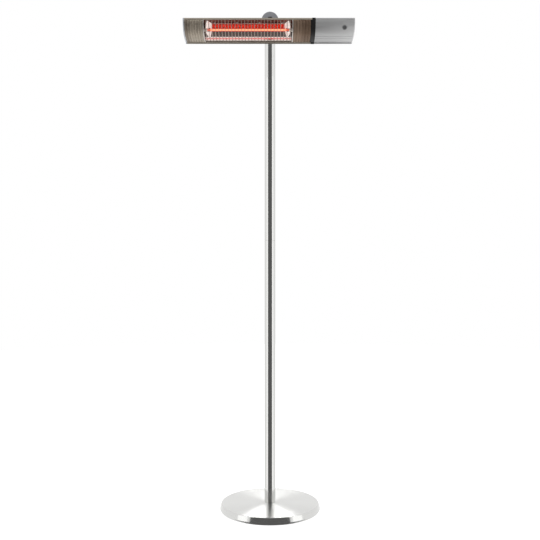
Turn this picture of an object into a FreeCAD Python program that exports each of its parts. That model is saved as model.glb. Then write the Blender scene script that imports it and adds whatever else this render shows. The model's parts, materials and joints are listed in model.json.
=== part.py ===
import FreeCAD, Part
import math
import os

from FreeCAD import Vector

# Infrared patio heater on a stand. Millimetres, +Z up, front towards -Y, +X to the right.
# The origin is on the floor, under the axis of the pole.

# Clearances
bolt_clearance = 0.5      # radial, through holes for bolts
screw_clearance = 0.1     # radial, screws in their tapped holes
running_clearance = 0.08  # radial, clamp bolt in the eye and the cheeks
tube_clearance = 0.15     # radial, plugs inside the pole
seat_clearance = 0.2      # sheet parts beside each other

# Foot of the stand
base_radius = 209.0
base_draft = 5.5
base_tuck = 4.0
base_height = 30.0
base_bulge_height = 6.0
cover_sheet = 1.5
cover_lift = 1.0
cover_top_round = 4.0
cover_side_round = 9.0
ballast_gap = 6.0
plate_thickness = 2.0
plate_overhang = 2.0
foot_height = 4.0
foot_radius = 13.0
foot_taper = 1.5
foot_count = 6
foot_inset = 22.0
base_screw_radius = 2.5
base_screw_length = 14.0
base_screw_head_radius = 4.5
base_screw_head_height = 2.0
centre_bolt_radius = 6.0
centre_bolt_flats = 19.0
centre_bolt_head = 7.5
centre_bolt_engagement = 24.0
centre_washer_radius = 15.0
centre_washer_thickness = 2.0
centre_recess_radius = 17.0
centre_recess_depth = 11.0

# Pole
pole_radius = 22.5
pole_wall = 1.5
pole_joint_height = 1126.0
pole_top_height = 1990.0
pole_end_chamfer = 0.5
plug_length = 70.0
coupler_length = 160.0
coupler_wall = 3.0
grub_radius = 3.0
grub_length = 8.0
grub_edge = 18.0
grub_step = 32.0

# Knuckle on the pole, with the clamp of the tilt joint
ball_radius = 36.0
ball_rise = 57.0
neck_radius = 24.0
neck_fillet = 10.0
pivot_drop = 13.0
cheek_seat = 27.0
knob_pocket_radius = 14.0
clamp_bolt_radius = 5.0
clamp_bolt_reach = 12.0
clamp_nut_flats = 17.0
clamp_nut_height = 8.0
tongue_width = 14.0
washer_thickness = 1.15
washer_gap = 0.15
washer_radius = 16.0
eye_radius = 17.0
arm_half_depth = 9.0
arm_clearance = 1.5
tilt_up = 30.0
tilt_down = 12.0
arm_foot_inset = 2.0
arm_foot_length = 58.0
arm_foot_width = 64.0
arm_foot_thickness = 4.0
arm_screw_radius = 2.5
arm_screw_head_radius = 4.5
arm_screw_head_height = 3.0
arm_screw_grip = 4.0
arm_screw_edge = 9.0
arm_screw_inset = 16.0
knob_radius = 13.0
knob_gap = 0.3
knob_hub_radius = 9.0
knob_hub_length = 6.0
knob_grip_length = 18.0
knob_lobes = 6
knob_scallop_radius = 4.0
knob_scallop_depth = 2.2

# Head: a bull-nosed bar
head_offset = -4.5
head_depth = 118.0
head_gap = 33.5
head_drop = 33.5
wall = 2.5
lip_width = 8.5
face_flat = 5.0
nose_radius = 55.0
nose_sweep = 78.0
belly_radius = 256.0
drip_width = 8.0
drip_root = 63.5
drip_drop = 68.6
drip_slant = 4.0
drip_rise = 1.2
drip_round = 0.8
back_round = 12.0
cap_thickness = 6.0
cap_chamfer = 1.5
port_radius = 4.5
port_bore_radius = 2.1
port_inset = 8.0
port_drop = 46.0
port_merge = 1.0
cap_screw_radius = 2.0
cap_screw_length = 18.0
cap_screw_head_radius = 4.0
cap_screw_head_height = 2.4
control_length = 150.5
break_width = 13.5
break_proud = 0.8
break_shoulder = 5.0
joint_pin_length = 40.0

# Window, covers and guard
window_width = 352.0
panel_left_width = 73.0
panel_right_width = 70.0
trim_width = 4.0
trim_depth = 8.0
trim_recess = 0.3
cover_recess = 0.8
cover_skin = 1.2
cover_tuck = 4.5
rib_pitch = 10.0
rib_width = 5.5
wire_radius = 1.3
wire_pitch = 13.0
wire_margin = 7.0
wire_tuck = 5.0
wire_weld = 0.3

# Reflector, drawn from the front top edge of the head: depth behind it, height above it
reflector_sheet = 0.8
ceiling_start = 44.0
ceiling_drop = 5.0
ceiling_end = 54.0
ceiling_round = 5.0
knee_depth = 70.4
knee_drop = 22.6
knee_round = 80.0
fold_depth = 78.5
fold_drop = 51.6
fold_round = 1.5
step_depth = 83.5
step_drop = 54.3
step_height = 3.0
step_lean = 0.3
step_round = 0.6
flange_depth = 104.0
flange_fall = 1.1
reflector_end_gap = 2.0
end_inset = 28.0
end_flare = 24.0
end_sheet = 1.0
end_reference_depth = 72.0
end_reference_drop = 28.0
end_face_gap = 7.3
end_trim = 45.0
spacer_radius = 4.0
spacer_depth = 48.5
spacer_count = 4
spacer_margin = 41.0

# Lamp
lamp_depth = 50.0
lamp_drop = 32.0
lamp_radius = 5.5
lamp_glass = 1.0
lamp_inset = 6.0
lamp_hole_gap = 3.5
filament_radius = 1.6
lamp_cap_radius = 7.0
lamp_cap_length = 26.0
lamp_cap_socket = 6.0
holder_thickness = 4.0
holder_width = 26.0
holder_below = 12.0
holder_foot = 14.0
holder_setback = 12.0
lead_radius = 1.5
lead_bend = 9.0
lead_exit = 16.0
lead_depth = 100.0
lead_drop = 30.0
lead_spacing = 6.0
lead_hole_radius = 8.0
cutout_radius = 8.0
cutout_height = 6.0

# Controls in the cool section
board_thickness = 1.6
board_front = 40.0
board_back = 104.0
board_margin = 9.0
board_length = 90.0
post_height = 6.5
post_radius = 3.5
post_edge = 6.0
transformer_size = (30.0, 30.0, 24.0)
transformer_place = (58.0, 70.0)
relay_size = (26.0, 16.0, 15.0)
relay_place = (20.0, 46.0)
switch_radius = 6.0
switch_height = 14.0
switch_place = (36.0, 80.0)
terminal_size = (36.0, 22.0, 16.0)
terminal_inset = 14.5
terminal_ways = 3
terminal_screw_radius = 3.0
terminal_screw_depth = 5.0
button_inset = 35.0
button_angle = 33.0
button_radius = 7.3
button_clearance = 0.3
button_proud = 0.8
button_depth = 9.0
button_dish_radius = 24.0
button_dish_depth = 0.6
stem_radius = 2.5
stem_length = 4.6
bezel_radius = 10.2
bezel_proud = 0.8
barrel_radius = 9.0
barrel_length = 16.0
button_switch_length = 12.0
gland_inset = 19.0
gland_drop = 26.0
gland_bore_radius = 5.0
gland_thread_radius = 8.0
gland_flats = 22.0
gland_flange = 5.0
gland_nut_radius = 11.0
gland_nut_bore_radius = 4.25
gland_nut_length = 14.0
gland_nut_round = 4.0
gland_inner_length = 8.0
locknut_height = 4.0

# Places worked out from the sizes above
pole_inner = pole_radius - pole_wall
plug_radius = pole_inner - tube_clearance
ballast_top = base_height - cover_sheet
plate_top = foot_height + plate_thickness
base_top_radius = base_radius - base_draft
base_rim_radius = base_radius - base_tuck
ballast_radius = base_top_radius - cover_sheet - ballast_gap
plate_radius = ballast_radius + plate_overhang
ball_height = pole_top_height + ball_rise
pivot_height = ball_height - pivot_drop
slot_half = tongue_width / 2 + washer_gap + washer_thickness
head_top = pivot_height - head_drop
head_back_y = -(pole_radius + head_gap)
head_front_y = head_back_y - head_depth
hot_length = panel_left_width + window_width + 2 * trim_width + panel_right_width + break_shoulder
head_length = hot_length + break_width + control_length + 2 * cap_thickness
head_left = head_offset - head_length / 2
head_right = head_offset + head_length / 2
shell_left = head_left + cap_thickness
shell_right = head_right - cap_thickness
window_left = shell_left + panel_left_width + trim_width
window_right = window_left + window_width
window_centre = (window_left + window_right) / 2
break_start = shell_left + hot_length
break_end = break_start + break_width
button_x = shell_right - button_inset
gland_x = shell_right - gland_inset
lamp_length = window_width - 2 * lamp_inset
spacer_pitch = (window_width - 2 * spacer_margin) / (spacer_count - 1)
nose_end = math.radians(nose_sweep)
wire_depth = wall + seat_clearance / 2 + wire_radius
rod_depth = wire_depth + 2 * wire_radius - wire_weld
lamp_y = head_front_y + lamp_depth
lamp_z = head_top - lamp_drop


# Drawing helpers

def at(x, depth, height):
    """A point of the head: depth behind its front top edge, height above it."""
    return Vector(x, head_front_y + depth, head_top + height)


def turned(radius, height):
    """A point of a profile that is turned about the pole."""
    return Vector(radius, 0, height)


def rounded(corners, closed=False):
    """Lines and tangent arcs through corners, each a point and the radius of its round."""
    count = len(corners)
    cuts = []
    for index, (point, radius) in enumerate(corners):
        inner = closed or 0 < index < count - 1
        if not inner or radius <= 0:
            cuts.append((point, None, point))
            continue
        before = (corners[index - 1][0] - point).normalize()
        after = (corners[(index + 1) % count][0] - point).normalize()
        half = before.getAngle(after) / 2
        reach = radius / math.tan(half)
        middle = (before + after).normalize() * (radius / math.sin(half) - radius)
        cuts.append((point + before * reach, point + middle, point + after * reach))
    path = []
    for index, (start, middle, end) in enumerate(cuts):
        if middle is not None:
            path.append((start, middle, end))
        if closed or index < count - 1:
            path.append((end, cuts[(index + 1) % count][0]))
    return path


def backwards(path):
    return [tuple(reversed(piece)) for piece in reversed(path)]


def edges(path):
    made = []
    for piece in path:
        if len(piece) == 3:
            made.append(Part.Arc(*piece).toShape())
        elif piece[0].distanceToPoint(piece[1]) > 1e-6:
            made.append(Part.LineSegment(*piece).toShape())
    return made


def face(path):
    """A flat face inside a path, whose open places are closed by lines."""
    closed = []
    for index, piece in enumerate(path):
        closed.append(piece)
        closed.append((piece[-1], path[(index + 1) % len(path)][0]))
    return Part.Face(Part.Wire(edges(closed)))


def bar(path, length):
    return face(path).extrude(Vector(length, 0, 0))


def spin(path):
    return face(path).revolve(Vector(0, 0, 0), Vector(0, 0, 1), 360)


def rod(radius, start, end):
    return Part.makeCylinder(radius, start.distanceToPoint(end), start, end - start)


def tube(outer, inner, start, end):
    return rod(outer, start, end).cut(rod(inner, start, end))


def hexagon(flats, start, end):
    """A hexagonal prism along the line from start to end."""
    along = end - start
    side = Vector(0, 0, 1) if abs(along.z) < abs(along.x) + abs(along.y) else Vector(1, 0, 0)
    other = along.cross(side).normalize()
    points = []
    for corner in range(6):
        angle = math.radians(60 * corner)
        reach = flats / math.sqrt(3)
        points.append(start + side * (reach * math.cos(angle)) + other * (reach * math.sin(angle)))
    return Part.Face(Part.makePolygon(points + points[:1])).extrude(along)


def block(low, high):
    size = high - low
    return Part.makeBox(size.x, size.y, size.z, low)


def around(count, radius, turn=0.0):
    """Places evenly spaced on a circle about the pole."""
    places = []
    for index in range(count):
        angle = 2 * math.pi * (index + turn) / count
        places.append(Vector(radius * math.cos(angle), radius * math.sin(angle), 0))
    return places


def up(height):
    return Vector(0, 0, height)


def fused(shapes):
    return shapes[0].multiFuse(shapes[1:]).removeSplitter()


# Outline of the head

def face_angle(depth):
    """Angle on the underside arc where the face, sunk by depth, reaches the back."""
    centre = nose_radius + (belly_radius - nose_radius) * math.cos(nose_end)
    return math.acos((centre - head_depth + depth) / (belly_radius - depth))


def nose_point(x, depth, angle):
    reach = nose_radius - depth
    return at(x, nose_radius - reach * math.cos(angle), -face_flat - reach * math.sin(angle))


def belly_point(x, depth, angle):
    reach = belly_radius - depth
    shift = belly_radius - nose_radius
    centre_depth = nose_radius + shift * math.cos(nose_end)
    centre_height = shift * math.sin(nose_end) - face_flat
    return at(x, centre_depth - reach * math.cos(angle), centre_height - reach * math.sin(angle))


def face_path(x, depth, start, trim):
    """The front of the head, sunk by depth, from start below the top to trim before the back."""
    path = []
    first = 0.0
    if start < face_flat:
        path.append((at(x, depth, -start), at(x, depth, -face_flat)))
    else:
        first = (start - face_flat) / nose_radius
    last = face_angle(depth) - trim / belly_radius
    middle = (first + nose_end) / 2
    path.append((nose_point(x, depth, first), nose_point(x, depth, middle), nose_point(x, depth, nose_end)))
    middle = (nose_end + last) / 2
    path.append((belly_point(x, depth, nose_end), belly_point(x, depth, middle), belly_point(x, depth, last)))
    return path


def band(x_start, x_end, outer, inner, start, trim):
    """A strip of skin on the front of the head, between two depths under its surface."""
    path = face_path(x_start, outer, start, trim) + backwards(face_path(x_start, inner, start, trim))
    return bar(path, x_end - x_start)


def section(x, shrink):
    """The closed outline of the head, shrunk all round."""
    back = head_depth - shrink
    front = face_path(x, shrink, shrink, 0)
    rest = [
        (front[-1][-1], 0),
        (at(x, back, -shrink), back_round - shrink),
        (front[0][0], 0),
    ]
    return front + rounded(rest)


def head_bar(x_start, x_end, shrink=0.0):
    return bar(section(x_start, shrink), x_end - x_start)


def drip_edge(x_start, x_end, grow=0.0):
    """The edge that hangs below the lower lip, with all its sides moved out by grow."""
    front = head_depth - drip_width - grow
    back = head_depth + grow
    corners = [
        (at(x_start, front, -port_drop), 0),
        (at(x_start, front, -drip_root - grow), 0),
        (at(x_start, front + drip_slant, -drip_drop - grow), drip_round),
        (at(x_start, back, -drip_drop + drip_rise - grow), 0),
        (at(x_start, back, -port_drop), 0),
    ]
    return bar(rounded(corners, closed=True), x_end - x_start)


def ports():
    """Screw channels along the back corners of the housings."""
    upper = (head_depth - port_inset, -port_inset)
    lower = (head_depth - wall - port_radius + port_merge, -port_drop)
    return (upper, lower)


def extrusion(x_start, x_end):
    """An open channel with a lip along each edge of its front."""
    outside = fused([head_bar(x_start, x_end), drip_edge(x_start, x_end)])
    shell = outside.cut(head_bar(x_start, x_end, wall))
    shell = shell.cut(band(x_start, x_end, -wall, wall + seat_clearance, lip_width, lip_width))
    channels = [rod(port_radius, at(x_start, *place), at(x_end, *place)) for place in ports()]
    shell = fused([shell] + [channel.common(head_bar(x_start, x_end)) for channel in channels])
    for place in ports():
        shell = shell.cut(rod(port_bore_radius, at(x_start, *place), at(x_end, *place)))
    return shell


def tucked_skin(x_start, x_end):
    """The sheet of a front cover, whose edges sit behind the lips."""
    outer = wall + seat_clearance / 2
    return band(x_start, x_end, outer, outer + cover_skin, cover_tuck, cover_tuck)


def raised_skin(x_start, x_end, recess):
    """What stands forward from that sheet between the lips."""
    edge = lip_width + seat_clearance
    return band(x_start, x_end, recess, wall + seat_clearance / 2, edge, edge)


# Foot of the stand

def base_cover():
    hole = centre_bolt_radius + bolt_clearance
    outline = [
        (turned(hole, base_height), 0),
        (turned(base_top_radius, base_height), cover_top_round),
        (turned(base_radius, base_bulge_height), cover_side_round),
        (turned(base_rim_radius, cover_lift), 0),
        (turned(base_rim_radius - cover_sheet, cover_lift), 0),
        (turned(base_radius - cover_sheet, base_bulge_height), cover_side_round - cover_sheet),
        (turned(base_top_radius - cover_sheet, ballast_top), cover_top_round - cover_sheet),
        (turned(hole, ballast_top), 0),
    ]
    return spin(rounded(outline, closed=True))


def base_screw_places():
    return around(foot_count, plate_radius - foot_inset, 0.5)


def base_ballast():
    hole = centre_bolt_radius + bolt_clearance
    recess_top = plate_top + centre_recess_depth
    outline = [
        (turned(hole, ballast_top), 0),
        (turned(ballast_radius, ballast_top), cover_top_round),
        (turned(ballast_radius, plate_top), 0),
        (turned(centre_recess_radius, plate_top), 0),
        (turned(centre_recess_radius, recess_top), 0),
        (turned(hole, recess_top), 0),
    ]
    disc = spin(rounded(outline, closed=True))
    for place in base_screw_places():
        start = place + up(plate_top)
        disc = disc.cut(rod(base_screw_radius + screw_clearance, start, start + up(base_screw_length)))
    return disc


def base_plate():
    plate = tube(plate_radius, centre_recess_radius, up(foot_height), up(plate_top))
    for place in base_screw_places():
        start = place + up(foot_height)
        plate = plate.cut(rod(base_screw_radius + screw_clearance, start, start + up(plate_thickness)))
    return plate


def base_feet():
    feet = []
    for place in around(foot_count, plate_radius - foot_inset):
        feet.append(Part.makeCone(foot_radius - foot_taper, foot_radius, foot_height, place))
    return Part.makeCompound(feet)


def base_screws():
    screws = []
    for place in base_screw_places():
        seat = place + up(foot_height)
        head = rod(base_screw_head_radius, seat - up(base_screw_head_height), seat)
        shank = rod(base_screw_radius, seat, seat + up(plate_thickness + base_screw_length))
        screws.append(fused([head, shank]))
    return Part.makeCompound(screws)


def centre_bolt_seat():
    return plate_top + centre_recess_depth - centre_washer_thickness


def centre_bolt():
    seat = up(centre_bolt_seat())
    head = hexagon(centre_bolt_flats, seat - up(centre_bolt_head), seat)
    return fused([head, rod(centre_bolt_radius, seat, up(base_height + centre_bolt_engagement))])


def centre_washer():
    seat = up(centre_bolt_seat())
    inner = centre_bolt_radius + bolt_clearance
    return tube(centre_washer_radius, inner, seat, seat + up(centre_washer_thickness))


# Pole

def grub(height, clearance=0.0):
    """A set screw in the back of the pole, flush with its surface."""
    start = Vector(0, pole_radius - grub_length - clearance, height)
    return rod(grub_radius + clearance, start, Vector(0, pole_radius + clearance, height))


def spigot_grubs():
    return [base_height + grub_edge, base_height + grub_edge + grub_step]


def coupler_grubs():
    offsets = [grub_edge, grub_edge + grub_step]
    below = [pole_joint_height - offset for offset in offsets]
    above = [pole_joint_height + offset for offset in offsets]
    return below + above


def knuckle_grubs():
    return [pole_top_height - grub_edge, pole_top_height - grub_edge - grub_step]


def grubs(heights):
    return Part.makeCompound([grub(height) for height in heights])


def drilled(shape, heights):
    for height in heights:
        shape = shape.cut(grub(height, screw_clearance))
    return shape


def pole_tube(bottom, top):
    outline = [
        turned(pole_inner, bottom),
        turned(pole_radius - pole_end_chamfer, bottom),
        turned(pole_radius, bottom + pole_end_chamfer),
        turned(pole_radius, top - pole_end_chamfer),
        turned(pole_radius - pole_end_chamfer, top),
        turned(pole_inner, top),
    ]
    return spin(rounded([(point, 0) for point in outline], closed=True))


def pole_spigot():
    plug = rod(plug_radius, up(base_height), up(base_height + plug_length))
    bore_top = up(base_height + centre_bolt_engagement + bolt_clearance)
    plug = plug.cut(rod(centre_bolt_radius + screw_clearance, up(base_height), bore_top))
    return drilled(plug, spigot_grubs())


def lower_pole():
    return drilled(pole_tube(base_height, pole_joint_height), spigot_grubs() + coupler_grubs())


def upper_pole():
    return drilled(pole_tube(pole_joint_height, pole_top_height), coupler_grubs() + knuckle_grubs())


def pole_coupler():
    bottom = up(pole_joint_height - coupler_length / 2)
    top = up(pole_joint_height + coupler_length / 2)
    return drilled(tube(plug_radius, plug_radius - coupler_wall, bottom, top), coupler_grubs())


# Knuckle and clamp

def tilt_axis(x):
    return Vector(x, 0, pivot_height)


def arm_slope():
    """Angle of the arm below the horizontal, from the pivot to the middle of its foot."""
    middle = head_back_y - arm_foot_inset - arm_foot_length / 2
    return math.atan2(head_drop - arm_foot_thickness, -middle)


def arm_edge(x, slope, side, reach):
    """A point on the upper (side +) or lower (side -) edge of the arm."""
    offset = Vector(0, -math.sin(slope), math.cos(slope)) * side
    return tilt_axis(x) + offset + Vector(0, -math.cos(slope), -math.sin(slope)) * reach


def arm_slot():
    """Room in the knuckle for the arm over its whole travel."""
    high = arm_slope() - math.radians(tilt_up)
    low = arm_slope() + math.radians(tilt_down)
    half = arm_half_depth + arm_clearance
    reach = 3 * ball_radius
    corners = [
        arm_edge(-slot_half, high, half, 0),
        arm_edge(-slot_half, high, half, reach),
        arm_edge(-slot_half, low, -half, reach),
        arm_edge(-slot_half, low, -half, 0),
    ]
    wedge = bar(rounded([(corner, 0) for corner in corners], closed=True), 2 * slot_half)
    return fused([wedge, rod(eye_radius + arm_clearance, tilt_axis(-slot_half), tilt_axis(slot_half))])


def knuckle():
    fillet_x = neck_radius + neck_fillet
    fillet_drop = math.sqrt((ball_radius + neck_fillet) ** 2 - fillet_x ** 2)
    fillet = turned(fillet_x, ball_height - fillet_drop)
    ball = turned(0, ball_height)
    tangent = ball + (fillet - ball).normalize() * ball_radius
    neck_top = turned(neck_radius, fillet.z)
    inward = ((tangent - fillet).normalize() + (neck_top - fillet).normalize()).normalize()
    top = turned(0, ball_height + ball_radius)
    side = ball + (tangent - ball + top - ball).normalize() * ball_radius
    path = [
        (turned(0, pole_top_height - plug_length), turned(plug_radius, pole_top_height - plug_length)),
        (turned(plug_radius, pole_top_height - plug_length), turned(plug_radius, pole_top_height)),
        (turned(plug_radius, pole_top_height), turned(neck_radius, pole_top_height)),
        (turned(neck_radius, pole_top_height), neck_top),
        (neck_top, fillet + inward * neck_fillet, tangent),
        (tangent, side, top),
    ]
    bolt_hole = clamp_bolt_radius + running_clearance
    pocket_flats = clamp_nut_flats + 2 * bolt_clearance
    outside = 2 * ball_radius
    shape = spin(path).cut(arm_slot())
    shape = shape.cut(rod(bolt_hole, tilt_axis(-ball_radius), tilt_axis(ball_radius)))
    shape = shape.cut(rod(knob_pocket_radius, tilt_axis(cheek_seat), tilt_axis(outside)))
    shape = shape.cut(hexagon(pocket_flats, tilt_axis(-cheek_seat), tilt_axis(-outside)))
    return drilled(shape, knuckle_grubs())


def friction_washers():
    washers = []
    for side in (-1, 1):
        start = tilt_axis(side * (slot_half - washer_thickness))
        end = tilt_axis(side * slot_half)
        washers.append(tube(washer_radius, clamp_bolt_radius + bolt_clearance, start, end))
    return Part.makeCompound(washers)


def clamp_nut():
    outer = hexagon(clamp_nut_flats, tilt_axis(-cheek_seat), tilt_axis(-cheek_seat - clamp_nut_height))
    hole = rod(clamp_bolt_radius + running_clearance, tilt_axis(-2 * ball_radius), tilt_axis(0))
    return outer.cut(hole)


def knob_start():
    return cheek_seat + knob_gap


def tilt_bolt():
    end = tilt_axis(knob_start() + clamp_bolt_reach)
    return rod(clamp_bolt_radius, tilt_axis(-cheek_seat - clamp_nut_height), end)


def tilt_knob():
    grip_start = knob_start() + knob_hub_length
    grip_end = grip_start + knob_grip_length
    hub = rod(knob_hub_radius, tilt_axis(knob_start()), tilt_axis(grip_start))
    grip = rod(knob_radius, tilt_axis(grip_start), tilt_axis(grip_end))
    reach = knob_radius + knob_scallop_radius - knob_scallop_depth
    for place in around(knob_lobes, reach):
        aside = Vector(0, place.x, place.y)
        grip = grip.cut(rod(knob_scallop_radius, tilt_axis(grip_start) + aside, tilt_axis(grip_end) + aside))
    bore = rod(clamp_bolt_radius + screw_clearance, tilt_axis(0), tilt_axis(knob_start() + clamp_bolt_reach))
    return fused([hub, grip]).cut(bore)


def arm_screw_places():
    middle = head_back_y - arm_foot_inset - arm_foot_length / 2
    across = arm_foot_width / 2 - arm_screw_edge
    along = arm_foot_length / 2 - arm_screw_inset
    return [Vector(x, middle + y, head_top) for x in (-across, across) for y in (-along, along)]


def arm_screw_holes(shape):
    hole = arm_screw_radius + screw_clearance
    for place in arm_screw_places():
        shape = shape.cut(rod(hole, place - up(wall), place + up(arm_foot_thickness)))
    return shape


def tilt_arm():
    back = head_back_y - arm_foot_inset
    low = Vector(-arm_foot_width / 2, back - arm_foot_length, head_top)
    foot = block(low, Vector(arm_foot_width / 2, back, head_top + arm_foot_thickness))
    slope = arm_slope()
    upper_reach = (head_drop - arm_foot_thickness + arm_half_depth * math.cos(slope)) / math.sin(slope)
    lower_reach = (head_drop - arm_foot_thickness - arm_half_depth * math.cos(slope)) / math.sin(slope)
    side = -tongue_width / 2
    corners = [
        arm_edge(side, slope, arm_half_depth, 0),
        arm_edge(side, slope, arm_half_depth, upper_reach),
        arm_edge(side, slope, -arm_half_depth, lower_reach),
        arm_edge(side, slope, -arm_half_depth, 0),
    ]
    web = bar(rounded([(corner, 0) for corner in corners], closed=True), tongue_width)
    eye = rod(eye_radius, tilt_axis(side), tilt_axis(-side))
    arm = fused([foot, web, eye])
    arm = arm.cut(rod(clamp_bolt_radius + running_clearance, tilt_axis(side), tilt_axis(-side)))
    return arm_screw_holes(arm)


def arm_screws():
    screws = []
    for place in arm_screw_places():
        seat = place + up(arm_foot_thickness)
        head = rod(arm_screw_head_radius, seat, seat + up(arm_screw_head_height))
        screws.append(fused([head, rod(arm_screw_radius, place - up(wall + arm_screw_grip), seat)]))
    return Part.makeCompound(screws)


# Shell of the head

def heater_housing():
    return arm_screw_holes(extrusion(shell_left, break_start))


def gland_line(reach):
    """A point on the axis of the cable gland, measured outwards from the back of the head."""
    return Vector(gland_x, head_back_y + reach, head_top - gland_drop)


def control_housing():
    hole = rod(gland_thread_radius + screw_clearance, gland_line(-2 * wall), gland_line(wall))
    return extrusion(break_end, shell_right).cut(hole)


def lead_place(index):
    return (lead_depth, -lead_drop - index * lead_spacing)


def heat_break():
    plate = fused([
        head_bar(break_start, break_end, -break_proud),
        drip_edge(break_start, break_end, break_proud),
    ])
    shoulder = fused([
        tucked_skin(break_start - break_shoulder, break_start),
        raised_skin(break_start - break_shoulder, break_start, cover_recess),
    ])
    shape = fused([plate, shoulder])
    for place in ports():
        shape = shape.cut(rod(port_bore_radius, at(break_start, *place), at(break_end, *place)))
    hole = (lead_depth, -lead_drop - lead_spacing / 2)
    return shape.cut(rod(lead_hole_radius, at(break_start, *hole), at(break_end, *hole)))


def joint_pins():
    middle = (break_start + break_end) / 2
    start = middle - joint_pin_length / 2
    end = middle + joint_pin_length / 2
    return Part.makeCompound([rod(cap_screw_radius, at(start, *place), at(end, *place)) for place in ports()])


def end_cap(inner, outer):
    """A cap on the end of the shell, chamfered round its outer face, with sunk screw holes."""
    side = math.copysign(1, outer - inner)
    shoulder = outer - side * cap_chamfer
    plain = fused([bar(section(inner, 0), shoulder - inner), drip_edge(inner, shoulder)])
    rim = Part.Wire(edges(section(shoulder, 0)))
    crown = Part.Wire(edges(section(outer, cap_chamfer)))
    cap = fused([plain, Part.makeLoft([rim, crown], True, True)])
    sink = outer - side * cap_screw_head_height
    for place in ports():
        cap = cap.cut(rod(cap_screw_radius + screw_clearance, at(inner, *place), at(outer, *place)))
        cap = cap.cut(rod(cap_screw_head_radius + screw_clearance, at(sink, *place), at(outer, *place)))
    return cap


def end_cap_screws():
    screws = []
    for outer in (head_left, head_right):
        side = math.copysign(1, outer - head_offset)
        sink = outer - side * cap_screw_head_height
        tip = sink - side * cap_screw_length
        for place in ports():
            head = rod(cap_screw_head_radius, at(sink, *place), at(outer, *place))
            screws.append(fused([head, rod(cap_screw_radius, at(tip, *place), at(sink, *place))]))
    return Part.makeCompound(screws)


# Front covers

def ribbed_panel(x_start, x_end):
    pieces = [tucked_skin(x_start, x_end)]
    count = int((x_end - x_start) // rib_pitch)
    first = (x_start + x_end - (count - 1) * rib_pitch - rib_width) / 2
    for index in range(count):
        rib = first + index * rib_pitch
        pieces.append(raised_skin(rib, rib + rib_width, cover_recess))
    return fused(pieces)


def window_trim(x_start):
    """A bead from lip to lip, which also holds the rods of the guard."""
    x_end = x_start + trim_width
    inner = wall + seat_clearance / 2
    backing = band(x_start, x_end, inner, trim_depth, cover_tuck, cover_tuck)
    return fused([backing, raised_skin(x_start, x_end, trim_recess)])


def button_line(reach):
    """A point on the axis of the button, measured inwards from the skin of the head."""
    angle = math.radians(button_angle)
    return nose_point(button_x, reach, angle)


def control_face():
    panel = fused([
        tucked_skin(break_end, shell_right),
        raised_skin(break_end, shell_right, cover_recess),
    ])
    hole = barrel_radius + seat_clearance
    return panel.cut(rod(hole, button_line(-wall), button_line(3 * wall)))


def wire_guard():
    path = face_path(0, wire_depth, wire_tuck, wire_tuck)
    spine = Part.Wire(edges(path))
    first = spine.Edges[0]
    along = first.tangentAt(first.FirstParameter)
    ring = Part.Wire(Part.makeCircle(wire_radius, path[0][0], along))
    wire = spine.makePipeShell([ring], True, False)
    spread = window_width - 2 * wire_margin
    count = int(spread // wire_pitch) + 1
    pieces = []
    for index in range(count):
        x = window_centre + (index - (count - 1) / 2) * wire_pitch
        pieces.append(wire.translated(Vector(x, 0, 0)))
    back = face_path(0, rod_depth, wire_tuck, wire_tuck)
    for place in (back[0][0], back[-1][-1]):
        start = Vector(window_left, place.y, place.z)
        pieces.append(rod(wire_radius, start, start + Vector(window_width, 0, 0)))
    return fused(pieces)


# Reflector and lamp

def reflector_corners():
    """Visible side of the trough: depth, height and round of each corner, from front to back."""
    step_foot = step_drop + step_height
    return [
        (ceiling_start, -ceiling_drop, 0),
        (ceiling_end, -ceiling_drop, ceiling_round),
        (knee_depth, -knee_drop, knee_round),
        (fold_depth, -fold_drop, fold_round),
        (step_depth, -step_drop, step_round),
        (step_depth - step_lean, -step_foot, step_round + reflector_sheet),
        (flange_depth, -step_foot - flange_fall, 0),
    ]


def shifted(corners, distance):
    """The same line moved sideways, to the left of its travel."""
    moved = []
    last = len(corners) - 1
    for index, (depth, height, radius) in enumerate(corners):
        sides = []
        for first in (index - 1, index):
            if 0 <= first < last:
                run = corners[first + 1][0] - corners[first][0]
                rise = corners[first + 1][1] - corners[first][1]
                length = math.hypot(run, rise)
                sides.append((-rise / length, run / length))
        before, after = sides[0], sides[-1]
        scale = distance / (1 + before[0] * after[0] + before[1] * after[1])
        turn = before[0] * after[1] - before[1] * after[0]
        grown = radius - math.copysign(distance, turn) if radius else 0
        moved.append((depth + scale * (before[0] + after[0]), height + scale * (before[1] + after[1]), grown))
    return moved


def reflector_line(x, distance, count=None):
    """The trough, or its first corners only, moved out by a distance."""
    corners = shifted(reflector_corners()[:count], distance)
    return rounded([(at(x, depth, height), radius) for depth, height, radius in corners])


def reflector():
    x_start = window_left + reflector_end_gap
    path = reflector_line(x_start, 0) + backwards(reflector_line(x_start, reflector_sheet))
    return bar(path, window_width - 2 * reflector_end_gap)


def reflector_end(side):
    """A flared plate across the trough, with a hole for the lamp."""
    x_start = window_left + reflector_end_gap
    inner = reflector_line(x_start, -seat_clearance, 4)
    outer = backwards(face_path(x_start, end_face_gap, lip_width, end_trim))
    hollow = bar(inner + outer, window_width - 2 * reflector_end_gap)
    mouth = Vector(0, -1, -1).normalize()
    along = Vector(0, 1, -1).normalize()
    reach = 2 * head_depth
    spread = Vector(side * math.tan(math.radians(end_flare)), 0, 0)
    deep = at(window_centre + side * (window_width / 2 - end_inset), end_reference_depth, -end_reference_drop)
    corners = []
    for ahead, aside in ((-1, -1), (1, -1), (1, 1), (-1, 1)):
        corners.append(deep + (mouth + spread) * (ahead * reach) + along * (aside * reach))
    slab = Part.Face(Part.makePolygon(corners + corners[:1])).extrude(Vector(side * end_sheet, 0, 0))
    passage = rod(lamp_radius + lamp_hole_gap, lamp_at(-window_width), lamp_at(window_width))
    return hollow.common(slab).cut(passage)


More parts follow.
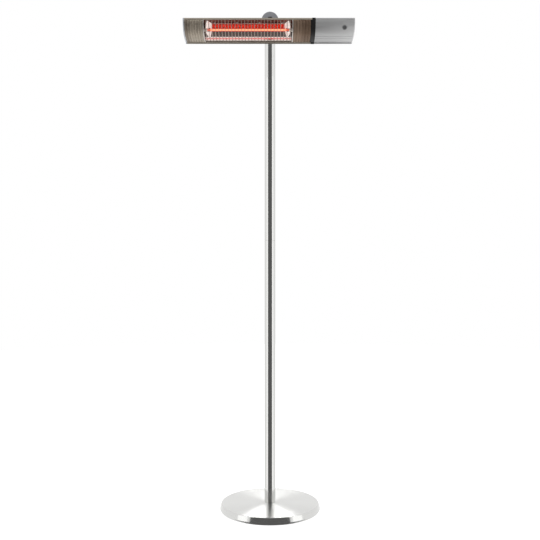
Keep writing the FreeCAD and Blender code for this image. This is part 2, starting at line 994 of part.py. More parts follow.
def reflector_spacers():
    spacers = []
    for index in range(spacer_count):
        x = window_centre + (index - (spacer_count - 1) / 2) * spacer_pitch
        top = at(x, spacer_depth, -wall)
        spacers.append(rod(spacer_radius, top, at(x, spacer_depth, -ceiling_drop + reflector_sheet)))
    return Part.makeCompound(spacers)


def lamp_at(offset):
    return Vector(window_centre + offset, lamp_y, lamp_z)


def lamp_tube():
    half = lamp_length / 2
    return tube(lamp_radius, lamp_radius - lamp_glass, lamp_at(-half), lamp_at(half))


def lamp_filament():
    return rod(filament_radius, lamp_at(-lamp_length / 2), lamp_at(lamp_length / 2))


def lamp_caps():
    caps = []
    for side in (-1, 1):
        inner = lamp_length / 2 - lamp_cap_socket
        cap = rod(lamp_cap_radius, lamp_at(side * inner), lamp_at(side * (inner + lamp_cap_length)))
        socket = rod(lamp_radius + tube_clearance, lamp_at(side * inner), lamp_at(side * lamp_length / 2))
        caps.append(cap.cut(socket))
    return Part.makeCompound(caps)


def lamp_holders():
    """Angle brackets under the roof of the housing, each round one cap of the lamp."""
    holders = []
    for side in (-1, 1):
        near = window_centre + side * (lamp_length / 2 + holder_setback)
        far = near + side * holder_thickness
        foot_end = near + side * holder_foot
        front = lamp_depth - holder_width / 2
        back = lamp_depth + holder_width / 2
        low = at(min(near, far), front, -lamp_drop - holder_below)
        plate = block(low, at(max(near, far), back, -wall))
        low = at(min(near, foot_end), front, -wall - holder_thickness)
        foot = block(low, at(max(near, foot_end), back, -wall))
        hole = rod(lamp_cap_radius + tube_clearance, lamp_at(0), lamp_at(side * lamp_length))
        holders.append(fused([plate, foot]).cut(hole))
    return Part.makeCompound(holders)


def lamp_leads():
    """Leads from the two ends of the lamp, behind the reflector and through the heat break."""
    leads = []
    end = lamp_length / 2 - lamp_cap_socket + lamp_cap_length
    block_start = break_end + terminal_inset
    for index, side in enumerate((-1, 1)):
        outer = lamp_at(side * (end + lead_exit))
        run = at(outer.x, *lead_place(index))
        start = lamp_at(side * end)
        finish = at(block_start, *lead_place(index))
        corners = [(start, 0), (outer, lead_bend), (run, lead_bend), (finish, 0)]
        spine = Part.Wire(edges(rounded(corners)))
        ring = Part.Wire(Part.makeCircle(lead_radius, start, Vector(1, 0, 0)))
        leads.append(spine.makePipeShell([ring], True, False))
    return Part.makeCompound(leads)


def thermal_cutout():
    """A disc thermostat on the back of the reflector wall, below its bend."""
    lower = shifted(reflector_corners(), reflector_sheet)
    knee, fold = lower[2], lower[3]
    run = Vector(0, fold[0] - knee[0], fold[1] - knee[1]).normalize()
    outward = Vector(0, -run.z, run.y)
    seat = at(window_centre, fold[0], fold[1]) - run * (cutout_radius + fold_round)
    return rod(cutout_radius, seat, seat + outward * cutout_height)


# Controls

def board_place(along, depth):
    """A place on the underside of the control board."""
    return at(break_end + board_margin + along, depth, -wall - post_height - board_thickness)


def control_board():
    return block(board_place(0, board_front), board_place(board_length, board_back) + up(board_thickness))


def board_posts():
    posts = []
    for along in (post_edge, board_length - post_edge):
        for depth in (board_front + post_edge, board_back - post_edge):
            start = board_place(along, depth) + up(board_thickness)
            posts.append(rod(post_radius, start, start + up(post_height)))
    return Part.makeCompound(posts)


def on_board(size, place):
    """A block hanging from the board."""
    corner = board_place(*place)
    return block(corner - up(size[2]), corner + Vector(size[0], size[1], 0))


def transformer():
    return on_board(transformer_size, transformer_place)


def relay():
    return on_board(relay_size, relay_place)


def tip_over_switch():
    top = board_place(*switch_place)
    return rod(switch_radius, top - up(switch_height), top)


def terminal_block():
    middle = lead_drop + lead_spacing / 2
    x_start = break_end + terminal_inset
    back = head_depth - wall
    low = at(x_start, back - terminal_size[1], -middle - terminal_size[2] / 2)
    body = block(low, at(x_start + terminal_size[0], back, -middle + terminal_size[2] / 2))
    pitch = terminal_size[0] / terminal_ways
    for index in range(terminal_ways):
        x = x_start + (index + 0.5) * pitch
        mouth = at(x, back - terminal_size[1], -middle)
        body = body.cut(rod(terminal_screw_radius, mouth, mouth + Vector(0, terminal_screw_depth, 0)))
    return body


def button_bezel():
    flange = rod(bezel_radius, button_line(-bezel_proud), button_line(wall))
    margin = 2 * bezel_radius
    flange = flange.cut(head_bar(button_x - margin, button_x + margin, cover_recess))
    barrel = rod(barrel_radius, button_line(-bezel_proud), button_line(barrel_length))
    bore = rod(button_radius + button_clearance, button_line(-wall), button_line(barrel_length))
    return fused([flange, barrel]).cut(bore)


def power_button():
    front = -bezel_proud - button_proud
    cap = rod(button_radius, button_line(front), button_line(button_depth))
    dish = Part.makeSphere(button_dish_radius, button_line(front + button_dish_depth - button_dish_radius))
    stem = rod(stem_radius, button_line(button_depth), button_line(button_depth + stem_length))
    return fused([cap.cut(dish), stem])


def button_switch():
    return rod(barrel_radius, button_line(barrel_length), button_line(barrel_length + button_switch_length))


def cable_gland():
    thread = rod(gland_thread_radius, gland_line(-wall - gland_inner_length), gland_line(0))
    collar = hexagon(gland_flats, gland_line(0), gland_line(gland_flange))
    bore = rod(gland_bore_radius, gland_line(-wall - gland_inner_length), gland_line(gland_flange))
    return fused([thread, collar]).cut(bore)


def gland_nut():
    """The dome nut, turned about the axis of the gland."""
    outline = [
        (Vector(gland_nut_bore_radius, 0, 0), 0),
        (Vector(gland_nut_radius, 0, 0), 0),
        (Vector(gland_nut_radius, 0, gland_nut_length), gland_nut_round),
        (Vector(gland_nut_bore_radius, 0, gland_nut_length), 0),
    ]
    nut = spin(rounded(outline, closed=True))
    nut.rotate(Vector(0, 0, 0), Vector(1, 0, 0), -90)
    nut.translate(gland_line(gland_flange))
    return nut


def gland_locknut():
    start = gland_line(-wall - locknut_height)
    nut = hexagon(gland_flats, start, gland_line(-wall))
    return nut.cut(rod(gland_thread_radius + screw_clearance, start, gland_line(-wall)))


PIECES = {
    "base_cover": base_cover,
    "base_ballast": base_ballast,
    "base_plate": base_plate,
    "base_feet": base_feet,
    "base_screws": base_screws,
    "centre_bolt": centre_bolt,
    "centre_washer": centre_washer,
    "pole_spigot": pole_spigot,
    "spigot_screws": lambda: grubs(spigot_grubs()),
    "lower_pole": lower_pole,
    "pole_coupler": pole_coupler,
    "coupler_screws": lambda: grubs(coupler_grubs()),
    "upper_pole": upper_pole,
    "knuckle": knuckle,
    "knuckle_screws": lambda: grubs(knuckle_grubs()),
    "friction_washers": friction_washers,
    "clamp_nut": clamp_nut,
    "tilt_bolt": tilt_bolt,
    "tilt_knob": tilt_knob,
    "tilt_arm": tilt_arm,
    "arm_screws": arm_screws,
    "heater_housing": heater_housing,
    "control_housing": control_housing,
    "heat_break": heat_break,
    "joint_pins": joint_pins,
    "left_end_cap": lambda: end_cap(shell_left, head_left),
    "right_end_cap": lambda: end_cap(shell_right, head_right),
    "end_cap_screws": end_cap_screws,
    "ribbed_panel_left": lambda: ribbed_panel(shell_left, window_left - trim_width),
    "ribbed_panel_right": lambda: ribbed_panel(window_right + trim_width, break_start - break_shoulder),
    "window_trim_left": lambda: window_trim(window_left - trim_width),
    "window_trim_right": lambda: window_trim(window_right),
    "control_face": control_face,
    "wire_guard": wire_guard,
    "reflector": reflector,
    "reflector_end_left": lambda: reflector_end(-1),
    "reflector_end_right": lambda: reflector_end(1),
    "reflector_spacers": reflector_spacers,
    "lamp_tube": lamp_tube,
    "lamp_filament": lamp_filament,
    "lamp_caps": lamp_caps,
    "lamp_holders": lamp_holders,
    "lamp_leads": lamp_leads,
    "thermal_cutout": thermal_cutout,
    "control_board": control_board,
    "board_posts": board_posts,
    "transformer": transformer,
    "relay": relay,
    "tip_over_switch": tip_over_switch,
    "terminal_block": terminal_block,
    "button_bezel": button_bezel,
    "power_button": power_button,
    "button_switch": button_switch,
    "cable_gland": cable_gland,
    "gland_nut": gland_nut,
    "gland_locknut": gland_locknut,
}

os.makedirs("parts", exist_ok=True)
for name, make in PIECES.items():
    shape = make()
    shape.exportStep("parts/" + name + ".step")
    print(name, len(shape.Solids), "solids", round(shape.Volume / 1000, 2), "cm3", "valid", shape.isValid())
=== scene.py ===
# %% [markdown]
# # A patio heater on a steel stand
# The heater is a bull-nosed bar on a tall pole. Its solids come from the CAD model, and this lesson dresses
# them: turned steel, pressed and extruded aluminium, bent wire, a ruby lamp. The solids are triangles with
# flat faces, which would show as facets in polished metal, so the curved pieces that you see are turned or
# extruded again here with many more steps, in the same places.

# %% Load the solids
import json
import math

import bmesh
import bpy
from mathutils import Matrix, Vector


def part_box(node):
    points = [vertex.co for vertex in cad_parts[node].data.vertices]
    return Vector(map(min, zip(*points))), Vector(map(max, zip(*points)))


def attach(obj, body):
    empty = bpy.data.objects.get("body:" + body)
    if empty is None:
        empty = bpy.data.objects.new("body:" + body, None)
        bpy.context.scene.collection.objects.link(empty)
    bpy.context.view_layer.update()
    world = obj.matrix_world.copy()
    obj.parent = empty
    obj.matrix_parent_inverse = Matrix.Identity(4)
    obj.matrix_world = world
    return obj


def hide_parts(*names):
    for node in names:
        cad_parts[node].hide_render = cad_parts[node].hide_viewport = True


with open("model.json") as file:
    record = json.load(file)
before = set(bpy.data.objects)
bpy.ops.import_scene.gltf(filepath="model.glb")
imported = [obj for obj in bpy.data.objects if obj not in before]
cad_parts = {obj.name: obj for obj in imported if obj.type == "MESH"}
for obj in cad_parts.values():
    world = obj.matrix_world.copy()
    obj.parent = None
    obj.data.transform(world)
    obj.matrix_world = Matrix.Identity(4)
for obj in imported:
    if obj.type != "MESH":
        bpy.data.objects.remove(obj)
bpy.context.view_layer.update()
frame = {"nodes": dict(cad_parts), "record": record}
scene = bpy.context.scene
scene.view_settings.view_transform = "Standard"
body_of = {node: body for body, nodes in frame["record"]["behaviour"]["bodies"].items() for node in nodes}

# %% [markdown]
# ## Camera
# The picture was taken level, from the height of the middle of the heater: the pole stays upright and we
# see the top of the foot and the underside of the head. A camera 3.144 m in front of the pole with a 50 mm
# lens gives that view.

# %% Camera
lens = bpy.data.cameras.new("studio camera")
lens.lens = 50.0
lens.sensor_width = 36.0
camera = bpy.data.objects.new("studio camera", lens)
camera.location = (0.0, -3.144, 1.002)
camera.rotation_euler = (math.radians(90.0), 0.0, 0.0)
scene.collection.objects.link(camera)
scene.camera = camera
print("camera at", tuple(round(value, 3) for value in camera.location))

# %% [markdown]
# ## One function for nodes, one for colours
# Every material and every Geometry Nodes tree below is made from the same call: it adds a node, sets its
# properties, and fills its inputs with plain values or with the output of an earlier node. Colours are
# written as the hex values of a paint card and turned to the linear values that the renderer works in.


# %% Node and colour helpers
def add(tree, kind, inputs=None, **settings):
    made = tree.nodes.new(kind)
    for name, value in settings.items():
        setattr(made, name, value)
    for socket, value in (inputs or {}).items():
        if isinstance(value, bpy.types.NodeSocket):
            tree.links.new(value, made.inputs[socket])
        else:
            made.inputs[socket].default_value = value
    return made


def linear(code):
    channels = [int(code[index:index + 2], 16) / 255 for index in (1, 3, 5)]
    bent = [value / 12.92 if value <= 0.04045 else ((value + 0.055) / 1.055) ** 2.4 for value in channels]
    return (*bent, 1.0)


def new_material(name, colour, roughness, metallic=0.0):
    made = bpy.data.materials.new(name)
    made.use_nodes = True
    tree = made.node_tree
    tree.nodes.clear()
    shader = add(tree, "ShaderNodeBsdfPrincipled",
                 {"Base Color": linear(colour), "Roughness": roughness, "Metallic": metallic})
    add(tree, "ShaderNodeOutputMaterial", {"Surface": shader.outputs["BSDF"]})
    print("finish:", name)
    return made, tree, shader


print("mid grey #808080 is", round(linear("#808080")[0], 3))

# %% [markdown]
# ## Stage
# The floor and the world are white. The floor is partly lit and partly self-lit, so it is as white as the
# background and still keeps the soft shadow under the foot. Polished metal shows the room, so the room has
# what a studio has: a dark flag in front, a tall strip light on each side of it, grey walls, two small
# lights over the foot and two low lights beside the head. They are cards that only reflections see, and
# only from one side. The low lights lean away from the pole, so it is on their clear side. The floor hides
# itself from reflections, so a second dark flag lies below it for the wall of the foot.


# %% World and floor
white = (1.0, 1.0, 1.0, 1.0)
world = bpy.data.worlds.new("white studio")
world.use_nodes = True
scene.world = world
room = world.node_tree
room.nodes.clear()
rays = add(room, "ShaderNodeLightPath")
seen = add(room, "ShaderNodeMath", {0: rays.outputs["Is Camera Ray"], 1: rays.outputs["Is Glossy Ray"]},
           operation="MAXIMUM")
shown = add(room, "ShaderNodeMath", {0: seen.outputs[0], 1: rays.outputs["Is Transmission Ray"]},
            operation="MAXIMUM")
level = add(room, "ShaderNodeMapRange", {"Value": shown.outputs[0], "To Min": 0.62, "To Max": 1.0})
sky = add(room, "ShaderNodeBackground", {"Color": white, "Strength": level.outputs["Result"]})
add(room, "ShaderNodeOutputWorld", {"Surface": sky.outputs["Background"]})

floor_radius, floor_steps = 7.0, 96
floor_turns = [math.tau * step / floor_steps for step in range(floor_steps)]
floor_rim = [(floor_radius * math.cos(turn), floor_radius * math.sin(turn), 0.0) for turn in floor_turns]
floor_mesh = bpy.data.meshes.new("studio floor")
floor_mesh.from_pydata(floor_rim, [], [tuple(range(floor_steps))])
floor = bpy.data.objects.new("studio floor", floor_mesh)
scene.collection.objects.link(floor)
paper = bpy.data.materials.new("white studio paper")
paper.use_nodes = True
paper.node_tree.nodes.clear()
matt = add(paper.node_tree, "ShaderNodeBsdfDiffuse", {"Color": (0.9, 0.9, 0.9, 1.0)})
lit = add(paper.node_tree, "ShaderNodeEmission", {"Color": white, "Strength": 1.45})
half = add(paper.node_tree, "ShaderNodeMixShader", {"Fac": 0.6, 1: matt.outputs[0], 2: lit.outputs[0]})
add(paper.node_tree, "ShaderNodeOutputMaterial", {"Surface": half.outputs[0]})
floor_mesh.materials.append(paper)
floor.visible_glossy = False
print("floor across", 2 * floor_radius, "m")


# %% Cards of the studio
def stage_card(name, centre, across, upright, strength):
    """A flat card from its middle and its two half sides. It shines to the side of across x upright."""
    centre, across, upright = Vector(centre), Vector(across), Vector(upright)
    corners = [centre - across - upright, centre + across - upright, centre + across + upright,
               centre - across + upright]
    mesh = bpy.data.meshes.new(name)
    mesh.from_pydata([tuple(corner) for corner in corners], [], [(0, 1, 2, 3)])
    card = bpy.data.objects.new(name, mesh)
    scene.collection.objects.link(card)
    surface = bpy.data.materials.new(name)
    surface.use_nodes = True
    tree = surface.node_tree
    tree.nodes.clear()
    glow = add(tree, "ShaderNodeEmission", {"Color": white, "Strength": strength})
    clear = add(tree, "ShaderNodeBsdfTransparent")
    behind = add(tree, "ShaderNodeNewGeometry")
    one_side = add(tree, "ShaderNodeMixShader", {"Fac": behind.outputs["Backfacing"],
                                                 1: glow.outputs["Emission"], 2: clear.outputs["BSDF"]})
    add(tree, "ShaderNodeOutputMaterial", {"Surface": one_side.outputs[0]})
    mesh.materials.append(surface)
    for kind in ("camera", "diffuse", "transmission", "shadow", "volume_scatter"):
        setattr(card, "visible_" + kind, False)
    print("card:", name, "strength", strength)


flag_level, flag_half = 0.13, 0.71
wall_place, wall_half, wall_level = 4.6, 1.93, 0.64
strip_turn, strip_away, strip_half, strip_level = math.radians(63.75), 5.2, 1.13, 1.45
stage_card("dark flag", (0.0, -0.8, 0.95), (-flag_half, 0.0, 0.0), (0.0, 0.0, 1.2), flag_level)
stage_card("dark floor flag", (0.0, -0.47, -0.25), (flag_half, 0.0, 0.0), (0.0, 0.33, 0.0), flag_level)
for side in (-1, 1):
    stage_card("grey side", (wall_place * side, wall_half, 1.0), (0.0, wall_half * side, 0.0),
               (0.0, 0.0, 4.0), wall_level)
    turn = strip_turn * side
    place = Vector((math.sin(turn), -math.cos(turn), 0.0)) * strip_away + Vector((0.0, 0.0, 1.0))
    along = Vector((math.cos(turn), math.sin(turn), 0.0)) * -strip_half
    stage_card("strip light", place, along, (0.0, 0.0, 5.0), strip_level)
stage_card("low left light", (-0.98, -0.1, 1.46), (0.36, 0.0, 0.18), (0.0, 1.0, 0.0), 2.2)
stage_card("low right light", (0.80, -0.1, 1.55), (0.40, 0.0, -0.20), (0.0, 1.0, 0.0), 2.4)
stage_card("back cone light", (0.0, 0.5, 0.5), (-0.05, 0.0, 0.0), (0.0, 0.11, 0.0), 3.0)
stage_card("front cone light", (0.0, 0.19, 0.35), (-0.17, 0.0, 0.0), (0.0, 0.06, 0.0), 9.0)

# %% Blind between the head and the pole
# The top of the pole would show the underside of the head. A blind behind the head repeats the dark flag
# and the lights there, so the stripes of the pole run up to the head. It is clear from the other side.
blind_place, blind_low, blind_high, blind_end, blind_flag = -0.046, 1.82, 2.06, 0.345, 0.0305
blind_level = 1.15
for start, end, strength in ((-blind_end, -blind_flag, blind_level), (-blind_flag, blind_flag, flag_level),
                             (blind_flag, blind_end, blind_level)):
    stage_card("blind", ((start + end) / 2, blind_place, (blind_low + blind_high) / 2),
               ((start - end) / 2, 0.0, 0.0), (0.0, 0.0, (blind_high - blind_low) / 2), strength)

# %% Lamps of the studio
aim, softbox_size = Vector((0.0, 0.0, 1.2)), 2.2
for name, place, energy in (("key light", (-2.6, -3.2, 3.6), 60.0), ("fill light", (2.8, -3.0, 2.6), 40.0)):
    light = bpy.data.lights.new(name, "AREA")
    light.energy = energy
    light.size = softbox_size
    softbox = bpy.data.objects.new(name, light)
    softbox.location = place
    softbox.rotation_euler = (aim - Vector(place)).to_track_quat("-Z", "Y").to_euler()
    softbox.visible_glossy = False
    scene.collection.objects.link(softbox)
print("lights:", [light.name for light in bpy.data.lights])

# %% [markdown]
# ## Finishes
# Each finish starts from the real material. Brushed and extruded metal has fine lines in one direction, so
# one helper lays noise that is stretched along that direction, with its spacing given in millimetres. The
# lines change the roughness a little and lift the surface by hundredths of a millimetre.


# %% Lines of a brushed or drawn surface
def streaks(tree, spacing, detail=3.0):
    """Noise drawn out along an axis: spacing holds the size of a streak along X, Y and Z in millimetres."""
    where = add(tree, "ShaderNodeTexCoord")
    drawn = add(tree, "ShaderNodeMapping", {"Vector": where.outputs["Object"],
                                            "Scale": tuple(1000.0 / size for size in spacing)})
    noise = add(tree, "ShaderNodeTexNoise",
                {"Vector": drawn.outputs["Vector"], "Scale": 1.0, "Detail": detail})
    return noise.outputs["Fac"]


def vary(tree, shader, lines, roughness, spread, lift=0.0):
    """Lets the lines move the roughness by a spread and, with a lift in millimetres, raise the surface."""
    rough = add(tree, "ShaderNodeMapRange", {"Value": lines, "From Min": 0.3, "From Max": 0.7,
                                             "To Min": roughness - spread, "To Max": roughness + spread})
    tree.links.new(rough.outputs["Result"], shader.inputs["Roughness"])
    if lift:
        bump = add(tree, "ShaderNodeBump", {"Height": lines, "Strength": 1.0, "Distance": lift / 1000.0})
        tree.links.new(bump.outputs["Normal"], shader.inputs["Normal"])


def tint(tree, shader, lines, dark, light):
    """Lets the lines move the colour between two near shades."""
    shade = add(tree, "ShaderNodeMix", {"Factor": lines, 6: linear(dark), 7: linear(light)}, data_type="RGBA")
    tree.links.new(shade.outputs[2], shader.inputs["Base Color"])


finishes = {}

# %% Drawn stainless tube
# Type 304 tube, polished along its length: a clear, slightly soft mirror with faint lengthwise lines. The
# real lines are hundredths of a millimetre wide; here they are drawn about a millimetre wide so that they
# show.
finishes["tube"], tree, shader = new_material("stainless tube, polished lengthwise", "#d6d6d4", 0.16, 1.0)
lines = streaks(tree, (1.6, 1.6, 3000.0), 1.0)
vary(tree, shader, lines, 0.14, 0.015)
tint(tree, shader, lines, "#d3d3d1", "#dadad8")

# %% Spun stainless cover
# The foot is sheet pressed over a former and brushed while it turned. The brush marks are circles, so light
# spreads across them, towards and away from the middle, and two bright cones open on the top. The tangent
# of the finish runs round the axis and the lines are rings of noise about 1.4 mm apart. The wall, from the
# shoulder outwards, is smoother.
finishes["foot"], tree, shader = new_material("stainless sheet, brushed in circles", "#d8d8d6", 0.3, 1.0)
shoulder_start, shoulder_end, top_rough, wall_rough, ring_rough = 0.1990, 0.2015, 0.30, 0.17, 0.12
ring_spacing = 1.4286
where = add(tree, "ShaderNodeTexCoord")
flat = add(tree, "ShaderNodeVectorMath", {0: where.outputs["Object"], 1: (1.0, 1.0, 0.0)},
           operation="MULTIPLY")
reach = add(tree, "ShaderNodeVectorMath", {0: flat.outputs[0]}, operation="LENGTH")
height = add(tree, "ShaderNodeSeparateXYZ", {0: where.outputs["Object"]})
ring = add(tree, "ShaderNodeCombineXYZ", {"X": reach.outputs["Value"], "Y": height.outputs["Z"]})
rings = add(tree, "ShaderNodeTexNoise", {"Vector": ring.outputs[0], "Scale": 1000.0 / ring_spacing,
                                         "Detail": 2.0})
by_reach = add(tree, "ShaderNodeMapRange", {
    "Value": reach.outputs["Value"], "From Min": shoulder_start, "From Max": shoulder_end,
    "To Min": top_rough - ring_rough / 2, "To Max": wall_rough - ring_rough / 2})
rough = add(tree, "ShaderNodeMath", {0: rings.outputs["Fac"], 1: ring_rough, 2: by_reach.outputs["Result"]},
            operation="MULTIPLY_ADD")
tree.links.new(rough.outputs[0], shader.inputs["Roughness"])
tint(tree, shader, rings.outputs["Fac"], "#d0d0ce", "#e0e0de")
around = add(tree, "ShaderNodeTangent", direction_type="RADIAL", axis="Z")
shader.inputs["Anisotropic"].default_value = 0.85
shader.inputs["Anisotropic Rotation"].default_value = 0.25
tree.links.new(around.outputs["Tangent"], shader.inputs["Tangent"])

# %% Painted casting of the knuckle
# Die-cast aluminium under a satin grey paint: soft reflections and a very fine orange peel.
finishes["casting"], tree, shader = new_material("cast aluminium, satin grey paint", "#7c7d81", 0.6)
peel = streaks(tree, (1.6, 1.6, 1.6), 2.0)
vary(tree, shader, peel, 0.6, 0.05, 0.01)
shader.inputs["Specular IOR Level"].default_value = 0.2
tint(tree, shader, peel, "#77787c", "#818286")

# %% Champagne anodised aluminium
# Extruded along the bar, etched matt and dyed: a warm metal with soft lengthwise lines. On the pressed
# covers the colour is painted darker than on the channel, and darker again in the grooves between the ribs,
# as painted shade of the ribs; the right cover is painted darker and browner still, as a painted dark
# reflection.
for name, label, dark, light, rough in (
    ("champagne", "aluminium, champagne anodised", "#aaa193", "#b8afa2", 0.48),
    ("cover", "aluminium sheet, champagne anodised", "#8f8579", "#aca294", 0.48),
    ("dark-reflection cover", "aluminium sheet, champagne anodised, browned by heat", "#7f6b5b", "#968170", 0.62),
):
    finishes[name], tree, shader = new_material(label, dark, rough, 1.0)
    lines = streaks(tree, (90.0, 1.2, 1.2))
    vary(tree, shader, lines, rough, 0.05, 0.006 if name == "champagne" else 0.0)
    # The covers take their colour from the stored rib lift, so the grooves get painted shade.
    if name != "champagne":
        lines = add(tree, "ShaderNodeAttribute", attribute_name="rib").outputs["Fac"]
    tint(tree, shader, lines, dark, light)

# %% Painted red lamplight on the roof
# Over the lamp, the inside of the champagne roof is painted reddish brown for the red light that the lamp
# throws on it. Its underside lies 2.5 mm below the top of the head, and the painted light stops short of
# the upper lip and of the rounded back corner.
head_low, head_high = (Vector(corner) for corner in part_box("heater_housing"))
front, back, top = head_low.y, head_high.y, head_high.z
underside, near_it, lip_clear, corner_clear = 0.0025, 0.0005, 0.0020, 0.011
tree = finishes["champagne"].node_tree
shader = tree.nodes["Principled BSDF"]
spot = add(tree, "ShaderNodeSeparateXYZ", {0: add(tree, "ShaderNodeTexCoord").outputs["Object"]})
limits = (("Z", "LESS_THAN", top - underside + near_it), ("Z", "GREATER_THAN", top - underside - near_it),
          ("Y", "GREATER_THAN", front + lip_clear), ("Y", "LESS_THAN", back - corner_clear))
mask = [add(tree, "ShaderNodeMath", {0: spot.outputs[axis], 1: limit}, operation=test).outputs[0]
        for axis, test, limit in limits]
while len(mask) > 1:
    both = add(tree, "ShaderNodeMath", {0: mask[0], 1: mask[1]}, operation="MULTIPLY")
    mask = mask[2:] + [both.outputs[0]]
plain = shader.inputs["Base Color"].links[0].from_socket
roof_lamplight = add(tree, "ShaderNodeMix", {"Factor": mask[0], 6: plain, 7: linear("#84422f")}, data_type="RGBA")
tree.links.new(roof_lamplight.outputs[2], shader.inputs["Base Color"])
print("painted lamplight on the roof, mm deep:", round((back - corner_clear - front - lip_clear) * 1000))

# %% Silver anodised aluminium
# The same extrusion without dye. The lines left by the die run along the bar.
finishes["silver"], tree, shader = new_material("aluminium, silver anodised", "#c9c9c9", 0.58, 1.0)
lines = streaks(tree, (120.0, 1.6, 1.6))
vary(tree, shader, lines, 0.58, 0.07, 0.012)
tint(tree, shader, lines, "#b0b0b0", "#c6c6c6")

# %% Grey end cap
# Cast, blasted and anodised: an even, slightly cool grey with a fine grain.
finishes["grey cap"], tree, shader = new_material("aluminium casting, grey anodised", "#c6c8cc", 0.5, 1.0)
peel = streaks(tree, (1.8, 1.8, 1.8), 2.0)
vary(tree, shader, peel, 0.5, 0.06, 0.01)
tint(tree, shader, peel, "#bfc1c6", "#cdcfd2")

# %% Moulded plastics
# Glass-filled nylon for the heat break and the gland, ABS for the button: spark-eroded moulds leave a fine
# grain. Fibre, laminate and rubber inside the part have a grain of the same size.
for name, label, colour, rough in (
    ("black", "glass-filled nylon, moulded black", "#0c0b0b", 0.55),
    ("button", "ABS, moulded dark grey", "#3f3f40", 0.42),
    ("bezel", "ABS, moulded mid grey", "#7a7a7a", 0.45),
    ("fibre", "pressed fibre", "#5b4c3f", 0.8),
    ("board", "glass laminate, green resist", "#1f5c38", 0.4),
    ("nylon", "natural nylon, moulded", "#e4e1d8", 0.5),
    ("sleeve", "glass-fibre sleeve", "#dcd8cf", 0.8),
    ("rubber", "moulded rubber", "#242424", 0.75),
):
    finishes[name], tree, shader = new_material(label, colour, rough)
    grain = streaks(tree, (0.9, 0.9, 0.9), 2.0)
    vary(tree, shader, grain, rough, 0.08, 0.02)
    shader.inputs["Specular IOR Level"].default_value = 0.3

# %% Bright wire, trim, polished reflector, zinc and iron
# Nickel-plated wire and trim are bright and a little soft. The reflector is aluminium sheet polished for
# lighting, with faint rolling lines along it. Zinc plate is duller, cast iron dark and rough.
for name, label, colour, rough, spread, size in (
    ("wire", "steel wire, bright nickel plate", "#ac9a91", 0.30, 0.04, (2.0, 2.0, 2.0)),
    ("trim", "steel strip, bright nickel plate", "#d6d0ca", 0.5, 0.05, (2.0, 2.0, 2.0)),
    ("mirror", "aluminium sheet, lighting polish", "#dccfca", 0.2, 0.03, (60.0, 1.5, 1.5)),
    ("zinc", "steel, zinc plate", "#bfc0c2", 0.35, 0.1, (3.0, 3.0, 3.0)),
    ("iron", "grey iron, as cast", "#4c4c4d", 0.7, 0.1, (2.0, 2.0, 2.0)),
    ("arm", "aluminium casting, shot-blasted", "#a8a9aa", 0.5, 0.08, (1.0, 1.0, 1.0)),
):
    finishes[name], tree, shader = new_material(label, colour, rough, 1.0)
    vary(tree, shader, streaks(tree, size), rough, spread)

# %% Painted glare on the fold and flange of the reflector
# The fold and the flange along the bottom of the reflector lie right under the lamp. The white glare of
# the lamp on the fold and on the back of the flange is painted on as a glow, and the step between them is
# painted red for the light of the tube. The painted glow starts at a height and grows over half a
# millimetre, measured down from the top of the head.
glare_start, glare_full, fold_end, rear_start = 0.0508, 0.0513, 0.0538, 0.094
glare_strength, glare_white, glare_red = 0.42, "#fff0e8", "#d8241a"
tree = finishes["mirror"].node_tree
shader = tree.nodes["Principled BSDF"]
spot = add(tree, "ShaderNodeSeparateXYZ", {0: add(tree, "ShaderNodeTexCoord").outputs["Object"]})
glare = add(tree, "ShaderNodeMapRange", {
    "Value": spot.outputs["Z"], "From Min": top - glare_start, "From Max": top - glare_full,
    "To Min": 0.0, "To Max": glare_strength})
fold = add(tree, "ShaderNodeMath", {0: spot.outputs["Z"], 1: top - fold_end}, operation="GREATER_THAN")
rear = add(tree, "ShaderNodeMath", {0: spot.outputs["Y"], 1: front + rear_start}, operation="GREATER_THAN")
pale = add(tree, "ShaderNodeMath", {0: fold.outputs[0], 1: rear.outputs[0]}, operation="MAXIMUM")
hue = add(tree, "ShaderNodeMix", {"Factor": pale.outputs[0], 6: linear(glare_red), 7: linear(glare_white)},
          data_type="RGBA")
tree.links.new(hue.outputs[2], shader.inputs["Emission Color"])
tree.links.new(glare.outputs["Result"], shader.inputs["Emission Strength"])
print("glare on the reflector starts at height", round(top - glare_start, 4))

# %% Reflector ends beside the lamp
# Satin aluminium in a nearly white colour, with the glare of the lamp beside it painted on as a faint even
# glow.
label = "aluminium sheet, satin, in the glare of the lamp"
finishes["glare"], tree, shader = new_material(label, "#f4efea", 0.5, 0.35)
vary(tree, shader, streaks(tree, (2.0, 2.0, 2.0)), 0.5, 0.06)
shader.inputs["Emission Color"].default_value = linear(glare_white)
shader.inputs["Emission Strength"].default_value = 0.4

# %% Ruby tube of the lamp
# A short-wave lamp: a tungsten coil in a quartz tube that is dyed ruby to hold back the glare. The glass in
# front of the coil glows strongest, and the cold ends of the tube glow less.
lamp_low, lamp_high = (Vector(corner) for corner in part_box("lamp_tube"))
lamp_axis, lamp_length = (lamp_low + lamp_high) / 2, lamp_high.x - lamp_low.x
cold_end, cold_fade, cold_level = 0.019, 0.002, 0.24
hot_reach = lamp_length / 2 - cold_end
middle_glow, edge_glow, edge_start = 3.2, 0.1, 0.36
finishes["ruby"], tree, shader = new_material("quartz tube, ruby", "#d83a24", 0.06)
shader.inputs["Transmission Weight"].default_value = 0.8
shader.inputs["IOR"].default_value = 1.46
shader.inputs["Emission Color"].default_value = linear("#ff7a5a")
rim = add(tree, "ShaderNodeLayerWeight", {"Blend": 0.5})
direct = add(tree, "ShaderNodeMapRange", {"Value": rim.outputs["Facing"], "From Max": edge_start,
                                          "To Min": middle_glow, "To Max": edge_glow})
rays = add(tree, "ShaderNodeLightPath")
